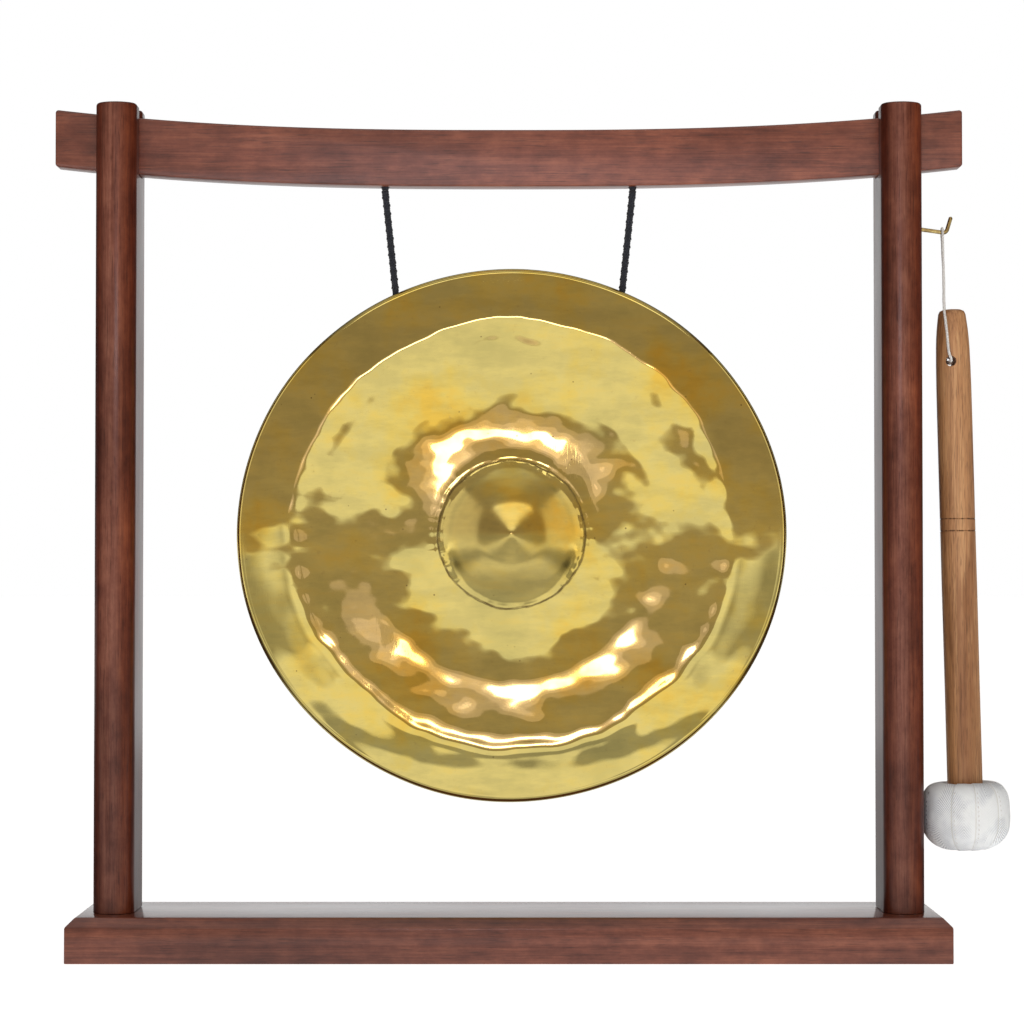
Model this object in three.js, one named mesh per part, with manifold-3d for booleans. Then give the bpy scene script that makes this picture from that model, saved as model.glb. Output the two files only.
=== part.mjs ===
// A bossed brass gong that hangs on two ropes in a wooden table stand, with its mallet on a wire hook.
// Millimetres, +Z up, front towards -Y. The origin is the middle of the base board's underside.
import * as THREE from "three";
import { mergeVertices } from "three/addons/utils/BufferGeometryUtils.js";
import Module from "manifold-3d";

// Clearance left between pieces that touch.
const GAP = 0.3;

// Base board: a plank with a chamfer round its top.
const BASE_LENGTH = 469;
const BASE_DEPTH = 86;
const BASE_THICKNESS = 24;
const BASE_CHAMFER = 5;

// Posts: upright boards with bulged front and back faces, slotted at the top for the crossbar.
const POST_X = 211.9;
const POST_WIDTH = 22;
const POST_FLAT_DEPTH = 31;
const POST_BULGE = 9;
const POST_TOP = 460;
const POST_EDGE_ROUND = 1.4;
const SLOT_FLOOR = 422.2;

// Crossbar: a board on edge whose middle sags below its ends.
const BAR_HALF_LENGTH = 246.5;
const BAR_THICKNESS = 14;
const BAR_HEIGHT = 30.8;
const BAR_MID_TOP = 447.2;
const BAR_SAG = 11;
const BAR_SAG_POWER = 2.6;
const BAR_END_ROUND = 1.6;

// Ropes: two short runs from the crossbar to the gong's rim.
const ROPE_RADIUS = 1.9;
const ROPE_HOLE_RADIUS = 2.4;
const ROPE_TOP_X = 67.5;
const ROPE_RIM_X = 61.5;
const ROPE_TOP_DROP = 2.3;
const RIM_PIVOT_Z = 357.3;
const RIM_HOLE_RADIUS = 2.7;
const KNOT_RADIUS = 4.2;
const KNOT_POCKET_RADIUS = 4.6;
const KNOT_POCKET_DEPTH = 10;

// Gong: a hammered dish, a little wider than tall, with a central boss and a rim turned back.
const GONG_X = 1.5;
const GONG_Z = 227;
const GONG_EDGE_Y = -6;
const GONG_RADIUS_X = 149.4;
const GONG_RADIUS_Z = 144.8;
const GONG_WALL = 1.8;
const GONG_FOLD = 3.8;
const GONG_RIM_DEPTH = 38;
const GONG_RIM_TAPER = 2;
const GONG_SEGMENTS = 54;
// Radius and forward height of the face, from the top of the boss out to the fold of the rim.
const GONG_FACE = [
  [0, 22],
  [4, 21.4],
  [15.5, 17],
  [25, 11.7],
  [31, 7.5],
  [37.5, 3.1],
  [41, 1.9],
  [48, 1.1],
  [64, 0.6],
  [78, 1],
  [90, 2.1],
  [106, 3.6],
  [119, 4.5],
  [126, 3.8],
  [136, 2],
  [145.6, 0],
];

// Hook: brass wire set in the outer side of the right post, its tip bent up and outwards.
const HOOK_RADIUS = 1.1;
const HOOK_POST_X = 222.9;
const HOOK_POST_Z = 393.9;
const HOOK_SLOPE = 0.14;
const HOOK_EMBED = 12;
const HOOK_BEND_RADIUS = 2.2;
const HOOK_TIP = [241.2, 400.6];
const HOOK_TIP_ANGLE = THREE.MathUtils.degToRad(17);

// String: one loop over the hook and through the hole near the top of the mallet's handle.
const STRING_RADIUS = 0.75;
const STRING_X = 236.3;
const STRING_EYE_RADIUS = 2.2;
const STRING_EYE_HALF_ANGLE = THREE.MathUtils.degToRad(50);

// Mallet: a turned handle that leans outwards, with its padded head against the post.
const MALLET_HOLE = [239.6, 321.1];
const MALLET_HOLE_RADIUS = 2.8;
const MALLET_LEAN = THREE.MathUtils.degToRad(1.38);
const MALLET_AXIS_X = 2.4;
const HEAD_BELOW_HOLE = 246.5;
// Radius and height of the handle, from the hole's level.
const HANDLE_PROFILE = [
  [0, 28.8],
  [4.6, 28.6],
  [6.8, 27.6],
  [7.5, 25.8],
  [8.4, 19],
  [9, 9],
  [9.3, -4],
  [9.5, -30],
  [9.5, -85],
  [9.15, -85.4],
  [9.5, -85.8],
  [9.5, -91.5],
  [9.15, -91.9],
  [9.5, -92.3],
  [9.5, -254.8],
  [0, -254.8],
];
// Radius and height from the head's middle, from the bottom of each piece out and up to the handle.
const COVER_PROFILE = [
  [0, -19],
  [6.5, -18.9],
  [12.8, -18.1],
  [17.6, -15.8],
  [21.2, -12],
  [23.3, -7.5],
  [24, -2],
  [24, 3],
  [23.6, 9],
  [22.3, 13.8],
  [19.6, 17.2],
  [16, 18.9],
  [12.5, 18.7],
  [9.8, 16.4],
  [9.8, 14.4],
  [13.6, 16.6],
  [17.6, 15.4],
  [20.3, 12.2],
  [21.7, 8],
  [22, 2],
  [21.8, -3],
  [20.8, -8],
  [18.4, -12.3],
  [14.5, -15.4],
  [9, -16.8],
  [0, -17],
];
const PADDING_PROFILE = [
  [0, -16.6],
  [8.9, -16.4],
  [14.2, -15],
  [18, -12],
  [20.4, -7.9],
  [21.4, -3],
  [21.6, 2],
  [21.3, 7.8],
  [19.9, 11.9],
  [17.4, 14.9],
  [13.7, 16.1],
  [9.8, 13.8],
  [9.8, 11.6],
  [15.3, 11.6],
  [16.3, 10.5],
  [16.3, -10.3],
  [15.1, -11.6],
  [0, -11.6],
];
const CORE_PROFILE = [
  [0, -11.2],
  [14.8, -11.2],
  [15.9, -10],
  [15.9, 10.2],
  [14.9, 11.2],
  [9.8, 11.2],
  [9.8, -8.6],
  [0, -8.6],
];

// Screws: two up through the base into each post, one through the back of each post into the crossbar.
const SCREW_Y = 11;
const SCREW_SHANK = 2;
const SCREW_HEAD = 4;
const SCREW_HEAD_HEIGHT = 3;
const SCREW_RECESS = 1;
const BASE_SCREW_LENGTH = 50;
const BAR_SCREW_LENGTH = 25;
const BAR_SCREW_Z = 438;
const BAR_SCREW_BACK = 21.5;

const wasm = await Module();
wasm.setup();

// Turns a closed geometry into a solid: shared vertices, no empty triangles, faces outwards.
function solid(geometry) {
  const bare = geometry.clone();
  bare.deleteAttribute("normal");
  bare.deleteAttribute("uv");
  const merged = mergeVertices(bare, 1e-4);
  const at = merged.attributes.position;
  const index = merged.index.array;
  const triangles = [];
  const a = new THREE.Vector3();
  const b = new THREE.Vector3();
  const c = new THREE.Vector3();
  let volume = 0;
  for (let i = 0; i < index.length; i += 3) {
    const [p, q, r] = [index[i], index[i + 1], index[i + 2]];
    if (p === q || q === r || r === p) {
      continue;
    }
    triangles.push([p, q, r]);
    a.fromBufferAttribute(at, p);
    b.fromBufferAttribute(at, q);
    c.fromBufferAttribute(at, r);
    volume += a.dot(b.cross(c));
  }
  const outward = volume > 0 ? triangles : triangles.map(([p, q, r]) => [p, r, q]);
  const mesh = new wasm.Mesh({
    numProp: 3,
    vertProperties: new Float32Array(at.array),
    triVerts: new Uint32Array(outward.flat()),
  });
  return new wasm.Manifold(mesh);
}

// Turns a solid back into a geometry with flat faces.
function geometryOf(body) {
  const mesh = body.getMesh();
  const geometry = new THREE.BufferGeometry();
  geometry.setAttribute("position", new THREE.BufferAttribute(mesh.vertProperties, 3));
  geometry.setIndex(new THREE.BufferAttribute(mesh.triVerts, 1));
  geometry.computeVertexNormals();
  return geometry;
}

function cut(body, ...tools) {
  return tools.reduce((left, tool) => left.subtract(solid(tool)), body);
}

// A cylinder between two points, optionally a cone.
function rod(from, to, radius, endRadius = radius, sides = 12) {
  const start = new THREE.Vector3(...from);
  const end = new THREE.Vector3(...to);
  const along = end.clone().sub(start);
  const geometry = new THREE.CylinderGeometry(endRadius, radius, along.length(), sides);
  const up = new THREE.Vector3(0, 1, 0);
  const turn = new THREE.Quaternion().setFromUnitVectors(up, along.clone().normalize());
  geometry.applyQuaternion(turn);
  const middle = start.add(end).multiplyScalar(0.5);
  geometry.translate(middle.x, middle.y, middle.z);
  return geometry;
}

// A solid of revolution about Z from a list of radius and height.
function turned(profile, segments) {
  const points = profile.map(([r, z]) => new THREE.Vector2(r, z));
  const geometry = new THREE.LatheGeometry(points, segments);
  geometry.rotateX(Math.PI / 2);
  return geometry;
}

// A round wire or cord along a path.
function tube(path, radius, sides, steps) {
  const circle = new THREE.Shape();
  for (let i = 0; i < sides; i += 1) {
    const angle = (i / sides) * 2 * Math.PI;
    const [x, y] = [radius * Math.cos(angle), radius * Math.sin(angle)];
    if (i === 0) {
      circle.moveTo(x, y);
    } else {
      circle.lineTo(x, y);
    }
  }
  circle.closePath();
  return new THREE.ExtrudeGeometry(circle, { steps, extrudePath: path, bevelEnabled: false });
}

// Rectangles stacked from the bottom up, joined into one block.
function stackedRectangles(levels) {
  const corners = [];
  for (const [halfX, halfY, z] of levels) {
    corners.push(-halfX, -halfY, z, halfX, -halfY, z, halfX, halfY, z, -halfX, halfY, z);
  }
  const faces = [0, 2, 1, 0, 3, 2];
  for (let level = 0; level < levels.length - 1; level += 1) {
    const low = level * 4;
    for (let side = 0; side < 4; side += 1) {
      const next = (side + 1) % 4;
      faces.push(low + side, low + next, low + 4 + next);
      faces.push(low + side, low + 4 + next, low + 4 + side);
    }
  }
  const top = (levels.length - 1) * 4;
  faces.push(top, top + 1, top + 2, top, top + 2, top + 3);
  const geometry = new THREE.BufferGeometry();
  geometry.setAttribute("position", new THREE.Float32BufferAttribute(corners, 3));
  geometry.setIndex(faces);
  return geometry;
}

function sag(x) {
  return BAR_SAG * (Math.abs(x) / BAR_HALF_LENGTH) ** BAR_SAG_POWER;
}

const mahogany = new THREE.MeshStandardMaterial({ color: 0x6b3322, roughness: 0.28, metalness: 0 });
const brass = new THREE.MeshStandardMaterial({ color: 0xc79a3c, roughness: 0.22, metalness: 1 });
const wireBrass = new THREE.MeshStandardMaterial({ color: 0xb8924a, roughness: 0.3, metalness: 1 });
const blackRope = new THREE.MeshStandardMaterial({ color: 0x16191d, roughness: 0.8, metalness: 0 });
const whiteString = new THREE.MeshStandardMaterial({ color: 0xdcd8d2, roughness: 0.9, metalness: 0 });
const teak = new THREE.MeshStandardMaterial({ color: 0xa2774f, roughness: 0.55, metalness: 0 });
const cotton = new THREE.MeshStandardMaterial({ color: 0xe6e6e4, roughness: 0.95, metalness: 0 });
const felt = new THREE.MeshStandardMaterial({ color: 0xb9b4a8, roughness: 1, metalness: 0 });
const coreRubber = new THREE.MeshStandardMaterial({ color: 0x2a2a2a, roughness: 0.8, metalness: 0 });
const steel = new THREE.MeshStandardMaterial({ color: 0x9a9a98, roughness: 0.35, metalness: 1 });

function piece(name, body, material) {
  const mesh = new THREE.Mesh(geometryOf(body), material);
  mesh.name = name;
  return mesh;
}

// Base board, with a countersunk clearance hole for each screw.
function baseBoard() {
  const [halfX, halfY] = [BASE_LENGTH / 2, BASE_DEPTH / 2];
  const shoulder = BASE_THICKNESS - BASE_CHAMFER;
  const board = stackedRectangles([
    [halfX, halfY, 0],
    [halfX, halfY, shoulder],
    [halfX - BASE_CHAMFER, halfY - BASE_CHAMFER, BASE_THICKNESS],
  ]);
  const holes = [];
  const coneTop = SCREW_RECESS + SCREW_HEAD_HEIGHT;
  for (const x of [-POST_X, POST_X]) {
    for (const y of [-SCREW_Y, SCREW_Y]) {
      holes.push(rod([x, y, -1], [x, y, SCREW_RECESS], SCREW_HEAD + GAP));
      holes.push(rod([x, y, SCREW_RECESS - 0.01], [x, y, coneTop], SCREW_HEAD + GAP, SCREW_SHANK + GAP));
      holes.push(rod([x, y, coneTop - 0.5], [x, y, BASE_THICKNESS + 1], SCREW_SHANK + GAP));
    }
  }
  return cut(solid(board), ...holes);
}

// Outline of a post seen from above: flat sides, shallow half ellipses front and back.
function postOutline(inset) {
  const half = POST_WIDTH / 2 - inset;
  const flat = POST_FLAT_DEPTH / 2;
  const outline = new THREE.Shape();
  outline.moveTo(half, -flat);
  outline.lineTo(half, flat);
  outline.absellipse(0, flat, half, POST_BULGE - inset, 0, Math.PI, false, 0);
  outline.lineTo(-half, -flat);
  outline.absellipse(0, -flat, half, POST_BULGE - inset, Math.PI, 2 * Math.PI, false, 0);
  return outline;
}

// A post about its own middle line, with the slot, the pilot holes and the crossbar's screw hole.
function post() {
  const bottom = BASE_THICKNESS + GAP;
  const height = POST_TOP - bottom + POST_EDGE_ROUND;
  const blank = new THREE.ExtrudeGeometry(postOutline(POST_EDGE_ROUND), {
    depth: height - 2 * POST_EDGE_ROUND,
    bevelEnabled: true,
    bevelThickness: POST_EDGE_ROUND,
    bevelSize: POST_EDGE_ROUND,
    bevelSegments: 2,
    curveSegments: 7,
  });
  blank.translate(0, 0, bottom);
  const foot = new THREE.BoxGeometry(60, 80, 20);
  foot.translate(0, 0, bottom - 10);
  const slotHeight = POST_TOP - SLOT_FLOOR + 10;
  const slot = new THREE.BoxGeometry(60, BAR_THICKNESS + 2 * GAP, slotHeight);
  slot.translate(0, 0, SLOT_FLOOR + slotHeight / 2);
  const screwTop = SCREW_RECESS + BASE_SCREW_LENGTH + 2;
  const pilots = [-SCREW_Y, SCREW_Y].map((y) => rod([0, y, 10], [0, y, screwTop], SCREW_SHANK + GAP));
  const back = BAR_SCREW_BACK;
  const neck = back - SCREW_HEAD_HEIGHT;
  const z = BAR_SCREW_Z;
  const head = rod([0, back + 8, z], [0, back, z], SCREW_HEAD + GAP);
  const cone = rod([0, back + 0.01, z], [0, neck, z], SCREW_HEAD + GAP, SCREW_SHANK + GAP);
  const through = rod([0, neck + 0.5, z], [0, 0, z], SCREW_SHANK + GAP);
  return cut(solid(blank), foot, slot, ...pilots, head, cone, through);
}

// Crossbar, with a rope hole and a knot pocket at each rope and a blind hole for each screw.
function crossbar() {
  const outline = new THREE.Shape();
  const steps = 22;
  const end = BAR_HALF_LENGTH - BAR_END_ROUND;
  const under = (x) => BAR_MID_TOP - BAR_HEIGHT + sag(x);
  const over = (x) => BAR_MID_TOP + sag(x);
  outline.moveTo(-end, under(-end));
  for (let i = 1; i <= steps; i += 1) {
    const x = -end + (2 * end * i) / steps;
    outline.lineTo(x, under(x));
  }
  const [low, high] = [under(end), over(end)];
  outline.absarc(end, low + BAR_END_ROUND, BAR_END_ROUND, -Math.PI / 2, 0, false);
  outline.absarc(end, high - BAR_END_ROUND, BAR_END_ROUND, 0, Math.PI / 2, false);
  for (let i = 1; i <= steps; i += 1) {
    const x = end - (2 * end * i) / steps;
    outline.lineTo(x, over(x));
  }
  outline.absarc(-end, high - BAR_END_ROUND, BAR_END_ROUND, Math.PI / 2, Math.PI, false);
  outline.absarc(-end, low + BAR_END_ROUND, BAR_END_ROUND, Math.PI, 1.5 * Math.PI, false);
  const bar = new THREE.ExtrudeGeometry(outline, {
    depth: BAR_THICKNESS,
    bevelEnabled: false,
    curveSegments: 3,
  });
  bar.rotateX(Math.PI / 2);
  bar.translate(0, BAR_THICKNESS / 2, 0);
  const holes = [];
  for (const x of [-ROPE_TOP_X, ROPE_TOP_X]) {
    const floor = over(x) - KNOT_POCKET_DEPTH;
    holes.push(rod([x, 0, under(x) - 5], [x, 0, floor + 1], ROPE_HOLE_RADIUS));
    holes.push(rod([x, 0, floor], [x, 0, over(x) + 5], KNOT_POCKET_RADIUS));
  }
  const tip = BAR_SCREW_BACK - BAR_SCREW_LENGTH - 1;
  for (const x of [-POST_X, POST_X]) {
    holes.push(rod([x, BAR_THICKNESS, BAR_SCREW_Z], [x, tip, BAR_SCREW_Z], SCREW_SHANK + GAP));
  }
  return cut(solid(bar), ...holes);
}

// A countersunk wood screw along +Z with its head at the origin and a cross recess in the head.
function screw(length) {
  const body = turned(
    [
      [0, 0],
      [SCREW_HEAD, 0],
      [SCREW_SHANK, SCREW_HEAD_HEIGHT],
      [SCREW_SHANK, length - 4],
      [0, length],
    ],
    14,
  );
  const slotX = new THREE.BoxGeometry(4.4, 0.9, 2.4);
  const slotY = new THREE.BoxGeometry(0.9, 4.4, 2.4);
  return cut(solid(body), slotX, slotY);
}

// The rope that stays in the crossbar: a stub in the hole and the knot in the pocket over it.
function ropeAnchor(height) {
  const neck = height - KNOT_POCKET_DEPTH + GAP;
  const middle = neck + KNOT_RADIUS;
  const points = [
    [0, 0.2],
    [ROPE_RADIUS, 0.2],
    [ROPE_RADIUS, neck + 0.3],
  ];
  for (let i = 1; i <= 6; i += 1) {
    const angle = -Math.PI / 2 + (Math.PI * (i + 0.8)) / 6.8;
    points.push([KNOT_RADIUS * Math.max(Math.cos(angle), 0), middle + KNOT_RADIUS * Math.sin(angle)]);
  }
  points[points.length - 1][0] = 0;
  return solid(turned(points, 12));
}

// The gong's section: face, fold, rim, and back along the inside at the wall's thickness.
function gong() {
  const outside = GONG_FACE.map(([r, h]) => [r, -h]);
  const foldMiddle = [GONG_RADIUS_X - GONG_FOLD, GONG_FOLD];
  const fold = [];
  const foldInside = [];
  for (let i = 1; i <= 3; i += 1) {
    const angle = -Math.PI / 2 + (i * Math.PI) / 6;
    const [c, s] = [Math.cos(angle), Math.sin(angle)];
    const inner = GONG_FOLD - GONG_WALL;
    fold.push([foldMiddle[0] + GONG_FOLD * c, foldMiddle[1] + GONG_FOLD * s]);
    foldInside.push([foldMiddle[0] + inner * c, foldMiddle[1] + inner * s]);
  }
  const lip = GONG_RADIUS_X - GONG_RIM_TAPER;
  const kept = (at, i) => i % 2 === 0 || i === outside.length - 1;
  const insideAll = outside.map(([r, y], i) => {
    const before = outside[Math.max(i - 1, 0)];
    const after = outside[Math.min(i + 1, outside.length - 1)];
    const [dr, dy] = [after[0] - before[0], after[1] - before[1]];
    const size = Math.hypot(dr, dy);
    const shifted = i === 0 ? 0 : r - (GONG_WALL * dy) / size;
    return [shifted, y + (GONG_WALL * dr) / size];
  });
  const inside = insideAll.filter(kept);
  const section = [
    ...outside,
    ...fold,
    [lip, GONG_RIM_DEPTH],
    [lip - GONG_WALL, GONG_RIM_DEPTH],
    ...foldInside.reverse(),
    ...inside.reverse(),
  ];
  const points = section.map(([r, y]) => new THREE.Vector2(r, y));
  const dish = new THREE.LatheGeometry(points, GONG_SEGMENTS);
  const at = dish.attributes.position;
  for (let i = 0; i < at.count; i += 1) {
    const r = Math.hypot(at.getX(i), at.getZ(i)) / GONG_RADIUS_X;
    const squash = 1 - (1 - GONG_RADIUS_Z / GONG_RADIUS_X) * r * r;
    at.setZ(i, at.getZ(i) * squash);
  }
  const holes = [-1, 1].map((side) => {
    const [x, z] = [side * ROPE_RIM_X - GONG_X, RIM_PIVOT_Z - GONG_Z];
    const lean = side * (ROPE_TOP_X - ROPE_RIM_X);
    const rise = ropePivotZ - RIM_PIVOT_Z;
    const [dx, dz] = [(lean / rise) * 6, 6];
    return rod([x - dx, -GONG_EDGE_Y, z - dz], [x + dx, -GONG_EDGE_Y, z + dz], RIM_HOLE_RADIUS);
  });
  return cut(solid(dish), ...holes);
}

// The knot inside the rim: a ball with a cup for the end of the rope.
function rimKnot(side) {
  const rise = ropePivotZ - RIM_PIVOT_Z;
  const down = new THREE.Vector3(-side * (ROPE_TOP_X - ROPE_RIM_X), 0, -rise).normalize();
  const centre = down.multiplyScalar(KNOT_RADIUS + 1.6);
  const ball = new THREE.SphereGeometry(KNOT_RADIUS, 12, 8);
  ball.rotateX(Math.PI / 2);
  ball.translate(centre.x, centre.y, centre.z);
  const cup = new THREE.SphereGeometry(ROPE_RADIUS + 0.4, 12, 8);
  return cut(solid(ball), cup);
}

// A rope run with round ends, from its upper pivot at the origin down to the rim.
function ropeRun(side) {
  const rise = ropePivotZ - RIM_PIVOT_Z;
  const reach = new THREE.Vector3(-side * (ROPE_TOP_X - ROPE_RIM_X), 0, -rise);
  const geometry = new THREE.CapsuleGeometry(ROPE_RADIUS, reach.length(), 3, 12, 5);
  const down = new THREE.Vector3(0, -1, 0);
  geometry.translate(0, -reach.length() / 2, 0);
  geometry.applyQuaternion(new THREE.Quaternion().setFromUnitVectors(down, reach.clone().normalize()));
  return solid(geometry);
}

// The hook's middle line: straight out of the post, a tight bend, then the tip.
function hookPath() {
  const out = new THREE.Vector3(1, 0, -HOOK_SLOPE).normalize();
  const up = new THREE.Vector3(Math.sin(HOOK_TIP_ANGLE), 0, Math.cos(HOOK_TIP_ANGLE));
  const mouth = new THREE.Vector3(HOOK_POST_X, 0, HOOK_POST_Z);
  const tip = new THREE.Vector3(HOOK_TIP[0], 0, HOOK_TIP[1]);
  const toTip = tip.clone().sub(mouth);
  const reach = (toTip.x * up.z - toTip.z * up.x) / (out.x * up.z - out.z * up.x);
  const corner = mouth.clone().addScaledVector(out, reach);
  const turn = Math.acos(out.dot(up));
  const back = HOOK_BEND_RADIUS * Math.tan(turn / 2);
  const bendStart = corner.clone().addScaledVector(out, -back);
  const bendEnd = corner.clone().addScaledVector(up, back);
  const inward = new THREE.Vector3(-out.z, 0, out.x);
  const middle = bendStart.clone().addScaledVector(inward, HOOK_BEND_RADIUS);
  const points = [mouth.clone().addScaledVector(out, -HOOK_EMBED)];
  points.push(mouth.clone().addScaledVector(out, -HOOK_EMBED / 2));
  points.push(mouth.clone());
  points.push(mouth.clone().lerp(bendStart, 0.5));
  for (let i = 0; i <= 4; i += 1) {
    const angle = (turn * i) / 4;
    const arm = inward.clone().multiplyScalar(-Math.cos(angle)).addScaledVector(out, Math.sin(angle));
    points.push(middle.clone().addScaledVector(arm, HOOK_BEND_RADIUS));
  }
  points.push(bendEnd.clone().lerp(tip, 0.5));
  points.push(tip);
  return points;
}

function hook() {
  const path = new THREE.CurvePath();
  const points = hookPath();
  for (let i = 1; i < points.length; i += 1) {
    path.add(new THREE.LineCurve3(points[i - 1], points[i]));
  }
  const curve = new THREE.CatmullRomCurve3(path.getSpacedPoints(24), false, "centripetal");
  return solid(tube(curve, HOOK_RADIUS, 10, 24));
}

// The top of the string loop, over the hook's wire.
function stringEye() {
  const points = [];
  for (let i = 0; i <= 6; i += 1) {
    const angle = -STRING_EYE_HALF_ANGLE + (STRING_EYE_HALF_ANGLE * i) / 3;
    const [y, z] = [STRING_EYE_RADIUS * Math.sin(angle), STRING_EYE_RADIUS * Math.cos(angle)];
    points.push(new THREE.Vector3(0, y, z));
  }
  return solid(tube(new THREE.CatmullRomCurve3(points), STRING_RADIUS, 8, 6));
}

// The rest of the loop, about the hook's wire: down the front, through the handle, up the back.
function malletString() {
  const [holeX, holeZ] = [MALLET_HOLE[0] - STRING_X, MALLET_HOLE[1] - stringZ];
  const points = [
    [0, -STRING_EYE_RADIUS, 0],
    [-0.05, -STRING_EYE_RADIUS - 0.15, -2],
    [-0.1, -4.6, -20],
    [-0.3, -7.7, -40.5],
    [0.3, -8.9, -48],
    [holeX - 2.3, -9.8, holeZ + 15],
    [holeX - 1.4, -10.4, holeZ + 5],
    [holeX - 0.6, -10.4, holeZ + 2.2],
    [holeX, -9.4, holeZ + 0.5],
    [holeX, -7.6, holeZ],
    [holeX, 0, holeZ],
    [holeX, 7.6, holeZ],
    [holeX, 9.4, holeZ + 0.5],
    [holeX, 10.4, holeZ + 2.5],
    [3.1, 10, holeZ + 15],
    [2.7, 9.1, -48],
    [2.3, 8.2, -40.5],
    [1.4, 5, -20],
    [0.15, STRING_EYE_RADIUS + 0.15, -2],
    [0, STRING_EYE_RADIUS, 0],
  ].map((p) => new THREE.Vector3(...p));
  const curve = new THREE.CatmullRomCurve3(points, false, "centripetal");
  return solid(tube(curve, STRING_RADIUS, 8, 52));
}

const barUnder = BAR_MID_TOP - BAR_HEIGHT + sag(ROPE_TOP_X);
const ropePivotZ = barUnder - ROPE_TOP_DROP;
const stringZ = HOOK_POST_Z - HOOK_SLOPE * (STRING_X - HOOK_POST_X);

// The stand: base, posts and crossbar, with their screws, the rope anchors and the hook.
const stand = new THREE.Group();
stand.add(piece("base_board", baseBoard(), mahogany));
for (const [side, label] of [
  [-1, "left"],
  [1, "right"],
]) {
  let upright = post();
  if (side === 1) {
    const [mouth, inner] = [hookPath()[2], hookPath()[0]];
    const along = inner.clone().sub(mouth).normalize();
    const start = mouth.clone().addScaledVector(along, -3);
    const end = inner.clone().addScaledVector(along, GAP);
    const local = (p) => [p.x - POST_X, p.y, p.z];
    upright = cut(upright, rod(local(start), local(end), HOOK_RADIUS + GAP, HOOK_RADIUS + GAP, 12));
  }
  const postMesh = piece(`post_${label}`, upright, mahogany);
  postMesh.position.x = side * POST_X;
  stand.add(postMesh);

  for (const [place, y] of [
    ["front", -SCREW_Y],
    ["back", SCREW_Y],
  ]) {
    const baseScrew = piece(`base_screw_${label}_${place}`, screw(BASE_SCREW_LENGTH), steel);
    baseScrew.position.set(side * POST_X, y, SCREW_RECESS);
    stand.add(baseScrew);
  }

  const barScrew = piece(`crossbar_screw_${label}`, screw(BAR_SCREW_LENGTH), steel);
  barScrew.position.set(side * POST_X, BAR_SCREW_BACK, BAR_SCREW_Z);
  barScrew.rotation.x = Math.PI / 2;
  stand.add(barScrew);

  const anchor = piece(`rope_anchor_${label}`, ropeAnchor(BAR_HEIGHT), blackRope);
  anchor.position.set(side * ROPE_TOP_X, 0, barUnder);
  stand.add(anchor);
}
stand.add(piece("crossbar", crossbar(), mahogany));
stand.add(piece("mallet_hook", hook(), wireBrass));

// The ropes turn about the line through their upper ends.
const ropes = new THREE.Group();
ropes.position.z = ropePivotZ;
for (const [side, label] of [
  [-1, "left"],
  [1, "right"],
]) {
  const run = piece(`rope_${label}`, ropeRun(side), blackRope);
  run.position.x = side * ROPE_TOP_X;
  ropes.add(run);
}

// The gong turns about the line through its two rim holes.
const gongGroup = new THREE.Group();
const dish = piece("gong_disc", gong(), brass);
dish.position.set(GONG_X, GONG_EDGE_Y, GONG_Z);
gongGroup.add(dish);
for (const [side, label] of [
  [-1, "left"],
  [1, "right"],
]) {
  const knot = piece(`rim_knot_${label}`, rimKnot(side), blackRope);
  knot.position.set(side * ROPE_RIM_X, 0, RIM_PIVOT_Z);
  gongGroup.add(knot);
}

// The string's two pieces, placed at the hook's wire.
const loop = new THREE.Group();
loop.position.set(STRING_X, 0, stringZ);
loop.add(piece("string_eye", stringEye(), whiteString));
loop.add(piece("mallet_string", malletString(), whiteString));

// The mallet, placed at its hole and leaning outwards.
const mallet = new THREE.Group();
mallet.position.set(MALLET_HOLE[0], 0, MALLET_HOLE[1]);
mallet.rotation.y = -MALLET_LEAN;
const handleBody = turned(HANDLE_PROFILE, 18);
handleBody.translate(MALLET_AXIS_X, 0, 0);
const stringHole = rod([0, -15, 0], [0, 15, 0], MALLET_HOLE_RADIUS, MALLET_HOLE_RADIUS, 14);
mallet.add(piece("mallet_handle", cut(solid(handleBody), stringHole), teak));
for (const [name, profile, material] of [
  ["mallet_core", CORE_PROFILE, coreRubber],
  ["mallet_padding", PADDING_PROFILE, felt],
  ["mallet_cover", COVER_PROFILE, cotton],
]) {
  const part = piece(name, solid(turned(profile, 18)), material);
  part.position.set(MALLET_AXIS_X, 0, -HEAD_BELOW_HOLE);
  mallet.add(part);
}

const tamTam = new THREE.Group();
tamTam.add(stand, ropes, gongGroup, loop, mallet);

export default tamTam;
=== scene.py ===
from math import acos, cos, exp, hypot, pi, radians, sin, sqrt, tan, tanh

import bmesh
import bpy
import numpy as np
from mathutils import Matrix, Vector, noise


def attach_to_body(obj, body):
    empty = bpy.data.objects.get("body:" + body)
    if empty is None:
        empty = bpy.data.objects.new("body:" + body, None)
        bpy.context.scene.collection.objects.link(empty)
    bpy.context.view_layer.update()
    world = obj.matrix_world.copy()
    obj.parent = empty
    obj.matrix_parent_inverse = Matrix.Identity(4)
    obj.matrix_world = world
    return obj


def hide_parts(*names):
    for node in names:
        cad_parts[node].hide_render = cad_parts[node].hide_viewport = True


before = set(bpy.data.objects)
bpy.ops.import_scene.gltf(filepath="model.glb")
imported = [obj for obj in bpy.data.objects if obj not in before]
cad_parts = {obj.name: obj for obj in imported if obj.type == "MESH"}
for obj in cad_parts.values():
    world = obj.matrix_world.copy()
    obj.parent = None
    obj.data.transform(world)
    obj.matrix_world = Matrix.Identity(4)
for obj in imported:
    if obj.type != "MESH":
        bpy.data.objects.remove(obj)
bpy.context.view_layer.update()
MM = 0.001
scene = bpy.context.scene

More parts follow.
